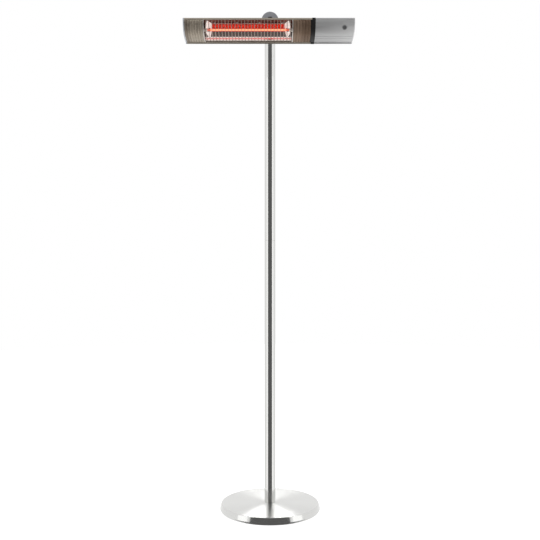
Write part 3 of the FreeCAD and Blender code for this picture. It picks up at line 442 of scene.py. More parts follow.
seen = add(tree, "ShaderNodeMix", {"Factor": rays.outputs["Is Camera Ray"], 2: edge_glow,
                                   3: direct.outputs["Result"]}, data_type="FLOAT")
spot = add(tree, "ShaderNodeSeparateXYZ", {0: add(tree, "ShaderNodeTexCoord").outputs["Object"]})
off_middle = add(tree, "ShaderNodeMath", {0: spot.outputs["X"], 1: lamp_axis.x}, operation="SUBTRACT")
away = add(tree, "ShaderNodeMath", {0: off_middle.outputs[0]}, operation="ABSOLUTE")
hot = add(tree, "ShaderNodeMapRange", {"Value": away.outputs[0], "From Min": hot_reach,
                                       "From Max": hot_reach + cold_fade, "To Min": 1.0,
                                       "To Max": cold_level})
glow = add(tree, "ShaderNodeMath", {0: seen.outputs[0], 1: hot.outputs["Result"]}, operation="MULTIPLY")
tree.links.new(glow.outputs[0], shader.inputs["Emission Strength"])
vary(tree, shader, streaks(tree, (40.0, 2.0, 2.0)), 0.06, 0.03)

# %% Coil and ceramic of the lamp
# The coil glows orange white. The ends of the lamp sit in unglazed ceramic, chalky and faintly mottled.
finishes["coil"], tree, shader = new_material("tungsten coil, glowing", "#ffb070", 0.5)
shader.inputs["Emission Color"].default_value = linear("#ffb27a")
shader.inputs["Emission Strength"].default_value = 2.0
vary(tree, shader, streaks(tree, (6.0, 6.0, 6.0)), 0.5, 0.1)
finishes["ceramic"], tree, shader = new_material("steatite ceramic, unglazed", "#e6e0d6", 0.7)
pores = streaks(tree, (1.2, 1.2, 1.2))
vary(tree, shader, pores, 0.7, 0.1, 0.02)
tint(tree, shader, pores, "#ddd6ca", "#ece7de")
print("finishes:", len(finishes))

# %% [markdown]
# ## Pieces: turned and extruded
# Two helpers make nearly all the shapes. A turned piece is a closed profile carried round an axis; an
# extruded piece is a closed outline carried along the bar. Both give quads that follow the curve, and edges
# sharper than 30 degrees stay sharp. A narrow Bevel breaks those edges, because a real edge always catches
# a thin line of light. Slots and holes are cut with Boolean modifiers, as on the machine.


# %% Mesh helpers
def piece(name, mesh, finish, node):
    """A finished piece: it stands for a CAD node, and takes its body of the record."""
    mesh.name = name
    mesh.materials.clear()
    mesh.materials.append(finishes[finish])
    made = bpy.data.objects.new(name, mesh)
    scene.collection.objects.link(made)
    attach(made, body_of[node])
    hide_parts(node)
    print(name, "faces:", len(mesh.polygons))
    return made


def smooth(mesh, angle=30.0):
    mesh.shade_smooth()
    mesh.set_sharp_from_angle(angle=math.radians(angle))
    return mesh


def plain_mesh(work):
    mesh = bpy.data.meshes.new("work")
    work.to_mesh(mesh)
    work.free()
    return smooth(mesh)


def closed(work):
    """A clean mesh with its doubles merged and its faces outwards."""
    bmesh.ops.remove_doubles(work, verts=work.verts, dist=1e-7)
    bmesh.ops.recalc_face_normals(work, faces=work.faces)
    return plain_mesh(work)


def joined(*meshes):
    """One mesh of several."""
    work = bmesh.new()
    for mesh in meshes:
        work.from_mesh(mesh)
    return plain_mesh(work)


def merged(node):
    """A copy of a solid's mesh with its triangles joined."""
    work = bmesh.new()
    work.from_mesh(frame["nodes"][node].data)
    bmesh.ops.remove_doubles(work, verts=work.verts, dist=1e-6)
    return plain_mesh(work)


def turned(profile, steps=144, place=Matrix()):
    """A closed profile of radius and height, carried round the Z axis of a place."""
    work = bmesh.new()
    rings = []
    for step in range(steps):
        turn = math.tau * step / steps
        points = [(radius * math.cos(turn), radius * math.sin(turn), height) for radius, height in profile]
        rings.append([work.verts.new(place @ Vector(point)) for point in points])
    count = len(profile)
    for step in range(steps):
        here, there = rings[step], rings[(step + 1) % steps]
        for index in range(count):
            after = (index + 1) % count
            if profile[index][0] > 1e-9 or profile[after][0] > 1e-9:
                work.faces.new((here[index], there[index], there[after], here[after]))
    bmesh.ops.dissolve_degenerate(work, dist=1e-8, edges=work.edges)
    return closed(work)


def lofted(loops):
    """A solid through loops of points, with its first and last loop closed."""
    work = bmesh.new()
    rings = [[work.verts.new(point) for point in loop] for loop in loops]
    for here, there in zip(rings, rings[1:]):
        for index in range(len(here)):
            after = (index + 1) % len(here)
            work.faces.new((here[index], here[after], there[after], there[index]))
    work.faces.new(rings[0])
    work.faces.new(list(reversed(rings[-1])))
    return closed(work)


def extruded(outline, start, end):
    """A closed outline of Y and Z, carried along X."""
    return lofted([[(along, y, z) for y, z in outline] for along in (start, end)])


def extruded_over(node, outline):
    """An outline carried along X for the length of a CAD node."""
    low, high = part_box(node)
    return extruded(outline, low[0], high[0])


def cut_from(blank, *tools):
    """The blank with the shapes of other meshes cut out of it."""
    bench = [bpy.data.objects.new("work", mesh) for mesh in (blank, *tools)]
    for made in bench:
        scene.collection.objects.link(made)
    for tool in bench[1:]:
        cut = bench[0].modifiers.new("cut", "BOOLEAN")
        cut.operation = "DIFFERENCE"
        cut.solver = "EXACT"
        cut.object = tool
    ready = bench[0].evaluated_get(bpy.context.evaluated_depsgraph_get())
    mesh = bpy.data.meshes.new_from_object(ready)
    for made in bench:
        bpy.data.objects.remove(made, do_unlink=True)
    return smooth(mesh)


def break_edges(made, width, segments=2):
    bevel = made.modifiers.new("broken edges", "BEVEL")
    bevel.width = width
    bevel.segments = segments
    bevel.limit_method = "ANGLE"
    bevel.angle_limit = math.radians(40.0)
    bevel.harden_normals = True


def arc(centre, radius, start, end, steps):
    """Points on a circle, from one angle to another, in degrees."""
    turns = [math.radians(start + (end - start) * step / steps) for step in range(steps + 1)]
    return [(centre[0] + radius * math.cos(turn), centre[1] + radius * math.sin(turn)) for turn in turns]


# %% [markdown]
# ## Foot and pole
# The cover of the foot has a flat top, a rounded shoulder and a wall that leans out to the floor and turns
# in under itself. The pole is two tubes that meet flush; small chamfers at their ends draw the fine line
# half-way up. Both are turned on a lathe in life, so they are turned here from a profile of radius and
# height.

# %% Foot
cover_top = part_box("base_cover")[1][2]
sheet, bolt_hole, shoulder_round, wall_round = 0.0015, 0.0066, 0.0045, 0.008
shoulder, wall_centre = (0.1988, cover_top - shoulder_round), (0.20025, 0.0085)
rim_outer, rim_inner, rim_lift = 0.2050, 0.2036, 0.0010
skirt = [(bolt_hole, cover_top)]
skirt += arc(shoulder, shoulder_round, 90.0, 10.0, 8)
skirt += arc(wall_centre, wall_round, 8.0, -40.0, 10)
skirt += [(rim_outer, rim_lift), (rim_inner, rim_lift)]
skirt += arc(wall_centre, wall_round - sheet, -40.0, 8.0, 10)
skirt += arc(shoulder, shoulder_round - sheet, 10.0, 90.0, 8)
skirt += [(bolt_hole, cover_top - sheet)]
piece("foot_cover", turned(skirt, 192), "foot", "base_cover")

# %% Pole
pole_outer, pole_inner, chamfer = 0.0225, 0.0210, 0.0006
for node in ("lower_pole", "upper_pole"):
    low, high = (corner[2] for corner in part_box(node))
    tube = [(pole_inner, low), (pole_outer - chamfer, low), (pole_outer, low + chamfer),
            (pole_outer, high - chamfer), (pole_outer - chamfer, high), (pole_inner, high)]
    piece(node + "_tube", turned(tube), "tube", node)

# %% [markdown]
# ## Knuckle
# The grey ball on top of the pole is split by a slot for the arm of the head and drilled for the clamp
# bolt. It could be built from halves, but it is turned as one piece and then cut, so its curve stays
# unbroken.

# %% Knuckle
pivot = Vector((0.0, 0.0, 2.034))
ball_centre, ball = 2.047, 0.036
tube_top, knuckle_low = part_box("upper_pole")[1][2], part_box("knuckle")[0][2]
plug, collar, collar_chamfer, fillet = 0.02085, 0.024, 0.0005, 0.010
neck = [(0.0, knuckle_low), (plug, knuckle_low), (plug, tube_top), (collar - collar_chamfer, tube_top),
        (collar, tube_top + collar_chamfer)]
drop = math.sqrt((ball + fillet) ** 2 - (collar + fillet) ** 2)
lean = math.degrees(math.atan2(drop, collar + fillet))
neck += arc((collar + fillet, ball_centre - drop), fillet, 180.0, 180.0 - lean, 8)
neck += arc((0.0, ball_centre), ball, -lean, 90.0, 40)[1:]


def arm_edge(slope, side, reach):
    """A point beside the arm, when the arm has a slope in degrees."""
    turn = math.radians(slope)
    return (-math.sin(turn) * side - math.cos(turn) * reach,
            pivot.z + math.cos(turn) * side - math.sin(turn) * reach)


slot_half, arm_half, arm_reach, first_slope, last_slope = 0.0083, 0.0105, 0.11, -11.3, 30.7
wedge = [arm_edge(first_slope, arm_half, 0.0), arm_edge(first_slope, arm_half, arm_reach),
         arm_edge(last_slope, -arm_half, arm_reach), arm_edge(last_slope, -arm_half, 0.0)]
drums = {"round of the slot": (-slot_half, slot_half, 0.0185, 64), "bolt hole": (-0.05, 0.05, 0.0052, 40),
         "knob seat": (0.027, 0.08, 0.014, 64), "nut pocket": (-0.08, -0.027, 0.0104, 6)}
cutters = [extruded(wedge, -slot_half, slot_half)]
for start, end, radius, steps in drums.values():
    drum = [(0.0, start), (radius, start), (radius, end), (0.0, end)]
    across_pivot = Matrix.Translation(pivot) @ Matrix.Rotation(math.radians(90.0), 4, "Y")
    cutters.append(turned(drum, steps, across_pivot))
piece("knuckle_ball", cut_from(turned(neck, 128), *cutters), "casting", "knuckle")

# %% [markdown]
# ## The line of the head
# One curve gives the whole front of the head: a short flat at the top, a tight nose and a long shallow
# belly. Every skin of the front is that curve sunk by its own depth, so one function draws it from depth,
# start and end.

# %% Line of the head
depth = back - front
nose, belly, flat_height = 0.055, 0.256, 0.005
nose_end, nose_steps, belly_steps = math.radians(78.0), 40, 24
wall, lip, low_lip, corner_round = 0.0025, 0.0066, 0.0058, 0.012
drip_front, drip_back = back - 0.0054, 0.0676
drip_bead = ((0.0020, 0.0682), (0.0026, 0.0685), (0.0032, 0.0683))


def nose_point(sink, turn):
    return (front + nose - (nose - sink) * math.cos(turn), top - flat_height - (nose - sink) * math.sin(turn))


def belly_point(sink, turn):
    shift = belly - nose
    return (front + nose + shift * math.cos(nose_end) - (belly - sink) * math.cos(turn),
            top - flat_height + shift * math.sin(nose_end) - (belly - sink) * math.sin(turn))


def belly_end(sink):
    centre = nose + (belly - nose) * math.cos(nose_end)
    return math.acos((centre - depth + sink) / (belly - sink))


def face_line(sink, start, trim):
    """Points down the front, sunk by a depth, from start below the top to trim before the back."""
    points = []
    first = 0.0
    if start < flat_height:
        points.append((front + sink, top - start))
    else:
        first = (start - flat_height) / nose
    points += [nose_point(sink, first + (nose_end - first) * step / nose_steps)
               for step in range(nose_steps + 1)]
    last = belly_end(sink) - trim / belly
    points += [belly_point(sink, nose_end + (last - nose_end) * step / belly_steps)
               for step in range(1, belly_steps + 1)]
    return points


def skin_section(outer, inner, start, trim):
    """The outline of a skin between two depths."""
    return face_line(outer, start, trim) + list(reversed(face_line(inner, start, trim)))


def drip_edge(sink):
    """The edge that hangs below the lower lip, from its front to the back of the head."""
    near = drip_front + sink
    surface = belly_point(sink, belly_end(sink) - (back - sink - near) / belly)
    bead = [(near + along, top - below + sink) for along, below in drip_bead]
    return [(near, surface[1]), *bead, (back - sink, top - drip_back + sink)]


def back_corner(sink):
    return arc((back - corner_round, top - corner_round), corner_round - sink, 0.0, 90.0, 10)


def closed_section(sink):
    """The whole outline of the head, sunk all round."""
    face = [point for point in face_line(sink, sink, 0.0) if point[0] < drip_front + sink]
    return face + drip_edge(sink) + back_corner(sink)


def upper_lip(sink):
    points = [point for point in face_line(sink, sink, 0.0) if point[1] > top - lip]
    return points + [nose_point(sink, (lip - flat_height) / nose)]


def channel_section():
    """The open channel of a housing: roof, back and the two lips, with their thickness."""
    lower = [belly_point(0.0, belly_end(0.0) - low_lip / belly)] + drip_edge(0.0)
    lower_inner = [belly_point(wall, belly_end(wall) - low_lip / belly * (1 - step / 8)) for step in range(9)]
    outside = lower + back_corner(0.0) + upper_lip(0.0)
    inside = lower_inner + back_corner(wall) + upper_lip(wall)
    return outside + list(reversed(inside))


print("head", round(depth * 1000), "mm deep, front at", round(front, 4), "top at", round(top, 4))

# %% [markdown]
# ## Shell of the head
# Two lengths of the same open channel, one dyed champagne and one silver, meet at a black heat break that
# stands a little proud. End caps close the bar. They are extruded along X from the section, with broken
# edges.

# %% Housings and heat break
for name, finish, node in (("champagne_channel", "champagne", "heater_housing"),
                           ("silver_channel", "silver", "control_housing")):
    break_edges(piece(name, extruded_over(node, channel_section()), finish, node), 0.0005)

break_width, break_proud, break_overlap = 0.0135, 0.0008, 0.0005
front_sink, front_back, lip_gap = 0.0008, 0.0038, 0.0002
low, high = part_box("heat_break")
band = extruded(closed_section(-break_proud), high[0] - break_width, high[0])
tongue_skin = skin_section(front_sink, front_back, lip + lip_gap, low_lip + lip_gap)
tongue = extruded(tongue_skin, low[0], high[0] - break_width + break_overlap)
break_edges(piece("heat_break_collar", joined(band, tongue), "black", "heat_break"), 0.0007, 3)

# %% End caps
# A cap is a loft: its rim shrinks by an inset at each distance from its outer face, which rounds it.
cap_rim = ((0.0, 0.0020), (0.0002, 0.0012), (0.0008, 0.0004), (0.0018, 0.0))
for name, finish, node, side in (("left_cap", "grey cap", "left_end_cap", -1),
                                 ("right_cap", "silver", "right_end_cap", 1)):
    inside, outside = (corner[0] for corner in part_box(node)[::side])
    stations = [(0.0, inside)] + [(inset, outside - side * short) for inset, short in cap_rim]
    loops = [[(along, y, z) for y, z in closed_section(inset)] for inset, along in stations]
    piece(name, lofted(loops), finish, node)

# %% [markdown]
# ## Geometry Nodes
# What repeats is made by rule. A tree gets named inputs for its sizes, works on a curve that holds the line
# to follow, and ends in Realize Instances and Set Material. The result is then kept as a plain mesh.


# %% Trees on a curve
def new_tree(name, sizes):
    """An empty tree with a Geometry input and output, and an input for each size and for the material."""
    tree = bpy.data.node_groups.new(name, "GeometryNodeTree")
    tree.is_modifier = True
    tree.interface.new_socket("Geometry", in_out="INPUT", socket_type="NodeSocketGeometry")
    for label, kind in sizes.items():
        tree.interface.new_socket(label, in_out="INPUT", socket_type="NodeSocket" + kind)
    tree.interface.new_socket("Material", in_out="INPUT", socket_type="NodeSocketMaterial")
    tree.interface.new_socket("Geometry", in_out="OUTPUT", socket_type="NodeSocketGeometry")
    return tree, add(tree, "NodeGroupInput").outputs


def end_tree(tree, given, geometry):
    real = add(tree, "GeometryNodeRealizeInstances", {"Geometry": geometry})
    dressed = add(tree, "GeometryNodeSetMaterial",
                  {"Geometry": real.outputs[0], "Material": given["Material"]})
    add(tree, "NodeGroupOutput", {"Geometry": dressed.outputs[0]})


def grown(name, tree, points, values):
    """The plain mesh that a tree makes of a line of points."""
    line = bpy.data.curves.new(name, "CURVE")
    line.dimensions = "3D"
    run = line.splines.new("POLY")
    run.points.add(len(points) - 1)
    for spot, point in zip(run.points, points):
        spot.co = (*point, 1.0)
    seed = bpy.data.objects.new(name, line)
    scene.collection.objects.link(seed)
    grower = seed.modifiers.new(name, "NODES")
    grower.node_group = tree
    for socket in tree.interface.items_tree:
        if socket.in_out == "INPUT" and socket.name in values:
            grower[socket.identifier] = values[socket.name]
    mesh = bpy.data.meshes.new_from_object(seed.evaluated_get(bpy.context.evaluated_depsgraph_get()))
    seed.modifiers.remove(grower)
    bpy.data.objects.remove(seed, do_unlink=True)
    return mesh


# %% [markdown]
# ## Guard
# Bent wires cross the window from lip to lip, and two long rods behind the lips carry them. Copies placed
# by hand would have to be moved one by one; here one wire is a circle swept along the line of the head, and
# a row of points 13 mm apart carries its copies.

# %% Wire guard
tree, given = new_tree("bent wire guard", {
    "Wire radius": "Float", "Pitch": "Float", "Wires": "Int", "Middle": "Float", "Rod length": "Float",
    "Upper rod": "Vector", "Lower rod": "Vector"})
bar = add(tree, "GeometryNodeCurvePrimitiveCircle", {"Resolution": 10, "Radius": given["Wire radius"]})
wire = add(tree, "GeometryNodeCurveToMesh", {"Curve": given["Geometry"], "Fill Caps": True,
                                             "Profile Curve": bar.outputs["Curve"]})
gaps = add(tree, "ShaderNodeMath", {0: given["Wires"], 1: 1.0}, operation="SUBTRACT")
span = add(tree, "ShaderNodeMath", {0: gaps.outputs[0], 1: given["Pitch"]}, operation="MULTIPLY")
row_start = add(tree, "ShaderNodeMath", {0: span.outputs[0], 1: -0.5, 2: given["Middle"]},
                operation="MULTIPLY_ADD")
first = add(tree, "ShaderNodeCombineXYZ", {"X": row_start.outputs[0]})
step = add(tree, "ShaderNodeCombineXYZ", {"X": given["Pitch"]})
row = add(tree, "GeometryNodeMeshLine", {"Count": given["Wires"], "Start Location": first.outputs[0],
                                         "Offset": step.outputs[0]}, mode="OFFSET")
wires = add(tree, "GeometryNodeInstanceOnPoints",
            {"Points": row.outputs["Mesh"], "Instance": wire.outputs["Mesh"]})
welded = add(tree, "GeometryNodeJoinGeometry", {0: wires.outputs["Instances"]})
half_rod = add(tree, "ShaderNodeMath", {0: given["Rod length"], 1: 0.5}, operation="MULTIPLY")
reach = add(tree, "ShaderNodeCombineXYZ", {"X": half_rod.outputs[0]})
for place in ("Upper rod", "Lower rod"):
    start = add(tree, "ShaderNodeVectorMath", {0: given[place], 1: reach.outputs[0]}, operation="SUBTRACT")
    end = add(tree, "ShaderNodeVectorMath", {0: given[place], 1: reach.outputs[0]}, operation="ADD")
    run = add(tree, "GeometryNodeCurvePrimitiveLine", {"Start": start.outputs[0], "End": end.outputs[0]})
    rod = add(tree, "GeometryNodeCurveToMesh", {"Curve": run.outputs[0], "Fill Caps": True,
                                                "Profile Curve": bar.outputs["Curve"]})
    tree.links.new(rod.outputs["Mesh"], welded.inputs[0])
end_tree(tree, given, welded.outputs[0])

low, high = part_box("wire_guard")
middle = (low[0] + high[0]) / 2
wire_sink, rod_sink, tuck = 0.0039, 0.0062, 0.005
rods = face_line(rod_sink, tuck, tuck)
guard = grown("guard_wires", tree, [(0.0, y, z) for y, z in face_line(wire_sink, tuck, tuck)], {
    "Wire radius": 0.0013, "Pitch": 0.013, "Wires": 27, "Middle": middle, "Rod length": high[0] - low[0],
    "Upper rod": (middle, *rods[0]), "Lower rod": (middle, *rods[-1]), "Material": finishes["wire"]})
piece("guard_wires", smooth(guard, 50.0), "wire", "wire_guard")

# %% [markdown]
# ## Ribbed covers
# The covers beside the window are pressed sheet with upright ribs. A bump in the material would vanish at
# the edge, so a grid is laid on the line of the head and lifted by a wave with flat tops, one wave for each
# rib. The lift fades out where the sheet slips behind the lips.

# %% Ribbed covers
tree, given = new_tree("ribbed cover", {
    "Start": "Float", "Width": "Float", "Rib pitch": "Float", "Rib height": "Float"})
grid = add(tree, "GeometryNodeMeshGrid", {"Size X": 1.0, "Size Y": 1.0, "Vertices X": 181, "Vertices Y": 72})
spot = add(tree, "ShaderNodeSeparateXYZ", {0: add(tree, "GeometryNodeInputPosition").outputs[0]})
across = add(tree, "ShaderNodeMath", {0: spot.outputs["X"], 1: 0.5}, operation="ADD")
along = add(tree, "ShaderNodeMath", {0: spot.outputs["Y"], 1: 0.5}, operation="ADD")
in_sheet = add(tree, "ShaderNodeMath", {0: across.outputs[0], 1: given["Width"]}, operation="MULTIPLY")
x_place = add(tree, "ShaderNodeMath", {0: in_sheet.outputs[0], 1: given["Start"]}, operation="ADD")
sample = add(tree, "GeometryNodeSampleCurve", {"Curves": given["Geometry"], "Factor": along.outputs[0]},
             mode="FACTOR")
outward = add(tree, "ShaderNodeVectorMath", {0: sample.outputs["Tangent"], 1: (1.0, 0.0, 0.0)},
              operation="CROSS_PRODUCT")
waves = add(tree, "ShaderNodeMath", {0: in_sheet.outputs[0], 1: given["Rib pitch"]}, operation="DIVIDE")
turns = add(tree, "ShaderNodeMath", {0: waves.outputs[0], 1: -math.tau}, operation="MULTIPLY")
wave = add(tree, "ShaderNodeMath", {0: turns.outputs[0]}, operation="COSINE")
rib = add(tree, "ShaderNodeMapRange", {"Value": wave.outputs[0], "From Min": 0.55, "From Max": -0.35},
          interpolation_type="SMOOTHSTEP")
rise = add(tree, "ShaderNodeMapRange", {"Value": along.outputs[0], "From Min": 0.030, "From Max": 0.040})
fall = add(tree, "ShaderNodeMapRange", {"Value": along.outputs[0], "From Min": 0.970, "From Max": 0.960})
fade = add(tree, "ShaderNodeMath", {0: rise.outputs["Result"], 1: fall.outputs["Result"]},
           operation="MULTIPLY")
lifted = add(tree, "ShaderNodeMath", {0: rib.outputs["Result"], 1: fade.outputs[0]}, operation="MULTIPLY")
lift = add(tree, "ShaderNodeMath", {0: lifted.outputs[0], 1: given["Rib height"]}, operation="MULTIPLY")
push = add(tree, "ShaderNodeVectorMath", {0: outward.outputs[0], "Scale": lift.outputs[0]}, operation="SCALE")
raised = add(tree, "ShaderNodeVectorMath", {0: sample.outputs["Position"], 1: push.outputs[0]},
             operation="ADD")
flat = add(tree, "ShaderNodeSeparateXYZ", {0: raised.outputs[0]})
final = add(tree, "ShaderNodeCombineXYZ", {"X": x_place.outputs[0], "Y": flat.outputs["Y"],
                                           "Z": flat.outputs["Z"]})
laid = add(tree, "GeometryNodeSetPosition", {"Geometry": grid.outputs["Mesh"], "Position": final.outputs[0]})
# The lift is stored as rib for the finish of the covers, which uses it to paint shade into the grooves.
marked = add(tree, "GeometryNodeStoreNamedAttribute",
             {"Geometry": laid.outputs[0], "Name": "rib", "Value": lifted.outputs[0]})
end_tree(tree, given, marked.outputs[0])

rib_pitch, rib_height, cover_sink, cover_tuck, cover_sheet = 0.010, 0.0019, 0.0027, 0.0045, 0.001
cover_line = [(0.0, y, z) for y, z in face_line(cover_sink, cover_tuck, cover_tuck)]
for node, finish in (("ribbed_panel_left", "cover"), ("ribbed_panel_right", "dark-reflection cover")):
    low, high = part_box(node)
    width = high[0] - low[0]
    mesh = grown(node, tree, cover_line, {
        "Start": low[0], "Width": width, "Rib pitch": width / int(width // rib_pitch),
        "Rib height": rib_height, "Material": finishes[finish]})
    cover = piece(node + "_sheet", smooth(mesh, 60.0), finish, node)
    thick = cover.modifiers.new("sheet", "SOLIDIFY")
    thick.thickness = cover_sheet
    thick.offset = -1.0

# %% [markdown]
# ## Trims, silver front and button
# Bright beads close the ends of the window. The silver front is a plain curved sheet with two fine grooves
# along it and a hole for the button, which is turned about its own axis, square to the nose.

# %% Trims
bead_sink, bead_back, backing_sink, backing_back, backing_tuck = 0.0003, 0.0030, 0.0026, 0.0080, 0.0046
for node in ("window_trim_left", "window_trim_right"):
    bead = extruded_over(node, skin_section(bead_sink, bead_back, lip + lip_gap, low_lip + lip_gap))
    backing = extruded_over(node, skin_section(backing_sink, backing_back, backing_tuck, backing_tuck))
    break_edges(piece(node + "_bead", joined(bead, backing), "trim", node), 0.0008, 3)

# %% Silver front
button_turn = math.radians(33.0)
inward = Vector((0.0, math.cos(button_turn), math.sin(button_turn)))
button_x = sum(corner[0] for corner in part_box("power_button")) / 2
button_skin = Vector((button_x, *nose_point(0.0, button_turn)))
button_place = Matrix.Translation(button_skin) @ inward.to_track_quat("Z", "X").to_matrix().to_4x4()

groove_half, groove_depth, groove_turns = 0.0008, 0.0014, (79.0, 82.6)
front_line = face_line(front_sink, lip + lip_gap, low_lip + lip_gap)
for turn in groove_turns:
    near, far = (math.radians(turn) + side * groove_half / belly for side in (-1, 1))
    floor_sink = front_sink + groove_depth
    groove = [belly_point(front_sink, near), belly_point(floor_sink, near), belly_point(floor_sink, far),
              belly_point(front_sink, far)]
    before = [point for point in front_line if point[0] < groove[0][0]]
    front_line = before + groove + [point for point in front_line if point[0] > groove[-1][0]]
back_line = face_line(front_back, lip + lip_gap, low_lip + lip_gap)
panel = extruded_over("control_face", front_line + list(reversed(back_line)))
hole_radius, hole_reach = 0.0092, 0.01
hole = [(0.0, -hole_reach), (hole_radius, -hole_reach), (hole_radius, hole_reach), (0.0, hole_reach)]
panel = cut_from(panel, turned(hole, 64, button_place))
break_edges(piece("silver_front", panel, "silver", "control_face"), 0.0004)

# %% Button and bezel
# Profiles of radius and depth, measured inwards from the skin of the head. The face of the button is
# dished.
ring_profile = [(0.0076, -0.0002), (0.0080, -0.0008), (0.0094, -0.0008), (0.0102, 0.0000), (0.0102, 0.0012),
                (0.0090, 0.0012), (0.0090, 0.0160), (0.0076, 0.0160)]
piece("button_ring", turned(ring_profile, 96, button_place), "bezel", "button_bezel")
face_depth, face_radius, dish, dish_steps = -0.0010, 0.0060, 0.0006, 6
cap_profile = [(face_radius * step / dish_steps, face_depth - dish * (step / dish_steps) ** 2)
               for step in range(dish_steps + 1)]
cap_profile += [(0.0068, -0.0015), (0.0073, -0.0010), (0.0073, 0.0090), (0.0025, 0.0090), (0.0025, 0.0136),
                (0.0, 0.0136)]
piece("button_cap", turned(cap_profile, 96, button_place), "button", "power_button")

# %% [markdown]
# ## Reflector and lamp
# The trough is one folded sheet: a flat ceiling, a curved back wall that throws the light of the lamp to
# the front, and a flange along the bottom. It is drawn as corners with rounds, then given its thickness.
# The coil of the lamp is a spiral made by Geometry Nodes.


# %% Folded sheet
def rounded_line(corners, steps):
    """A line through corners, each Y, Z and the radius of its bend."""
    points = [corners[0][:2]]
    for before, here, after in zip(corners, corners[1:], corners[2:]):
        spot = Vector(here[:2])
        back_way = (Vector(before[:2]) - spot).normalized()
        on_way = (Vector(after[:2]) - spot).normalized()
        half_turn = back_way.angle(on_way) / 2
        centre = spot + (back_way + on_way).normalized() * (here[2] / math.sin(half_turn))
        start = spot + back_way * (here[2] / math.tan(half_turn)) - centre
        end = spot + on_way * (here[2] / math.tan(half_turn)) - centre
        swing = start.angle_signed(end)
        for step in range(steps + 1):
            turn = -swing * step / steps
            points.append((centre.x + start.x * math.cos(turn) - start.y * math.sin(turn),
                           centre.y + start.x * math.sin(turn) + start.y * math.cos(turn)))
    points.append(corners[-1][:2])
    return points


# Millimetres behind the front, above the top, and the radius of the bend.
trough_corners = [(52.0, -5.0, 0.0), (54.0, -5.0, 1.0), (70.4, -22.6, 80.0), (78.5, -51.0, 0.5),
                  (82.4, -53.8, 0.3), (81.85, -57.3, 0.3), (110.0, -58.7, 0.0)]
trough_sheet = 0.0008
inner_line = rounded_line([(front + behind / 1000, top + above / 1000, bend / 1000)
                           for behind, above, bend in trough_corners], 16)
outer_line = []
for index, point in enumerate(inner_line):
    ahead = Vector(inner_line[min(index + 1, len(inner_line) - 1)]) - Vector(inner_line[max(index - 1, 0)])
    side = Vector((-ahead.y, ahead.x)).normalized() * trough_sheet
    outer_line.append((point[0] + side.x, point[1] + side.y))
piece("trough", extruded_over("reflector", inner_line + list(reversed(outer_line))), "mirror", "reflector")

# %% Lamp tube and coil
along_bar = Matrix.Rotation(math.radians(90.0), 4, "Y")
glass_inner, glass_outer = 0.0045, 0.0055
quartz = [(glass_inner, 0.0), (glass_outer, 0.0), (glass_outer, lamp_length), (glass_inner, lamp_length)]
lamp_place = Matrix.Translation((lamp_low.x, lamp_axis.y, lamp_axis.z)) @ along_bar
piece("ruby_tube", turned(quartz, 48, lamp_place), "ruby", "lamp_tube")

tree, given = new_tree("lamp coil", {
    "Coil radius": "Float", "Wire radius": "Float", "Turns": "Float", "Length": "Float"})
coil = add(tree, "GeometryNodeCurveSpiral", {
    "Resolution": 14, "Rotations": given["Turns"], "Start Radius": given["Coil radius"],
    "End Radius": given["Coil radius"], "Height": given["Length"]})
thin = add(tree, "GeometryNodeCurvePrimitiveCircle", {"Resolution": 6, "Radius": given["Wire radius"]})
wound = add(tree, "GeometryNodeCurveToMesh", {"Curve": coil.outputs["Curve"], "Fill Caps": True,
                                              "Profile Curve": thin.outputs["Curve"]})
end_tree(tree, given, wound.outputs["Mesh"])
coil_mesh = grown("lamp_coil", tree, [(0.0, 0.0, 0.0), (0.0, 0.0, 1.0)], {
    "Coil radius": 0.0012, "Wire radius": 0.0004, "Turns": 150.0, "Length": lamp_length - 2 * cold_end,
    "Material": finishes["coil"]})
coil_mesh.transform(Matrix.Translation((lamp_low.x + cold_end, lamp_axis.y, lamp_axis.z)) @ along_bar)
piece("lamp_coil", smooth(coil_mesh, 60.0), "coil", "lamp_filament")

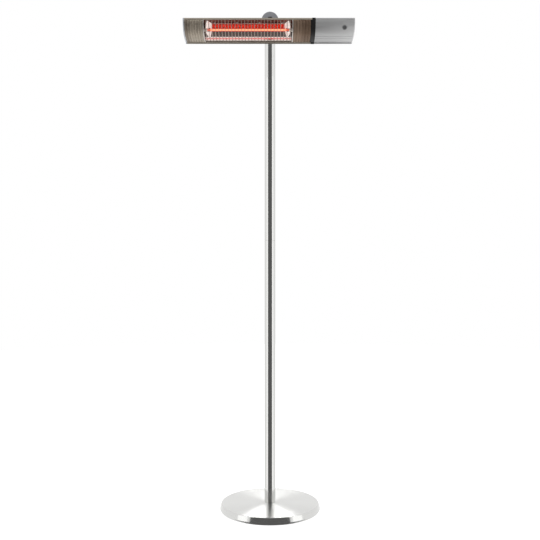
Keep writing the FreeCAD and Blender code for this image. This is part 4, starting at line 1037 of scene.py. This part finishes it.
# %% Reflector ends
# Each flared end is slotted from its lamp hole to its front edge, towards the window, so the lamp goes in
# from the window and its red end shows.
lamp_slot_half, lamp_slot_run, slot_past = Vector((0.0, 0.0062)), Vector((-0.070, -0.0225)), 0.01
lamp_spot = Vector((lamp_axis.y, lamp_axis.z))
opening = [lamp_spot - lamp_slot_half, lamp_spot + lamp_slot_half,
           lamp_spot + lamp_slot_run + lamp_slot_half, lamp_spot + lamp_slot_run - lamp_slot_half]
for node in ("reflector_end_left", "reflector_end_right"):
    low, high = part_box(node)
    slot = extruded(opening, low[0] - slot_past, high[0] + slot_past)
    piece(node + "_flare", cut_from(merged(node), slot), "glare", node)

# %% [markdown]
# ## Small parts
# The rest of the solids already have the right shape. Their meshes are loose triangles, so a copy is merged
# and shaded smooth between its sharp edges, and it stands for the node. Flat or hidden parts keep the node
# and only get a finish.

# %% Smooth copies and finishes of the small parts
small_parts = {
    "zinc": ["base_plate", "base_screws", "spigot_screws", "coupler_screws", "knuckle_screws", "arm_screws",
             "clamp_nut", "tilt_bolt", "end_cap_screws", "lamp_holders", "centre_bolt", "centre_washer"],
    "black": ["tilt_knob", "cable_gland", "gland_nut", "gland_locknut"],
    "arm": ["tilt_arm"],
    "fibre": ["friction_washers"],
    "rubber": ["base_feet"],
    "ceramic": ["lamp_caps"],
    "sleeve": ["lamp_leads"],
}
for finish, nodes in small_parts.items():
    for node in nodes:
        piece(node + "_part", merged(node), finish, node)
kept_parts = {
    "zinc": ["reflector_spacers", "pole_spigot", "pole_coupler", "joint_pins"],
    "iron": ["base_ballast"],
    "button": ["thermal_cutout", "transformer", "relay", "tip_over_switch", "button_switch"],
    "board": ["control_board"],
    "nylon": ["board_posts", "terminal_block"],
}
for finish, nodes in kept_parts.items():
    for node in nodes:
        mesh = frame["nodes"][node].data
        mesh.materials.clear()
        mesh.materials.append(finishes[finish])
for label, parts in (("small parts:", small_parts), ("kept:", kept_parts)):
    print(label, sum(len(nodes) for nodes in parts.values()))
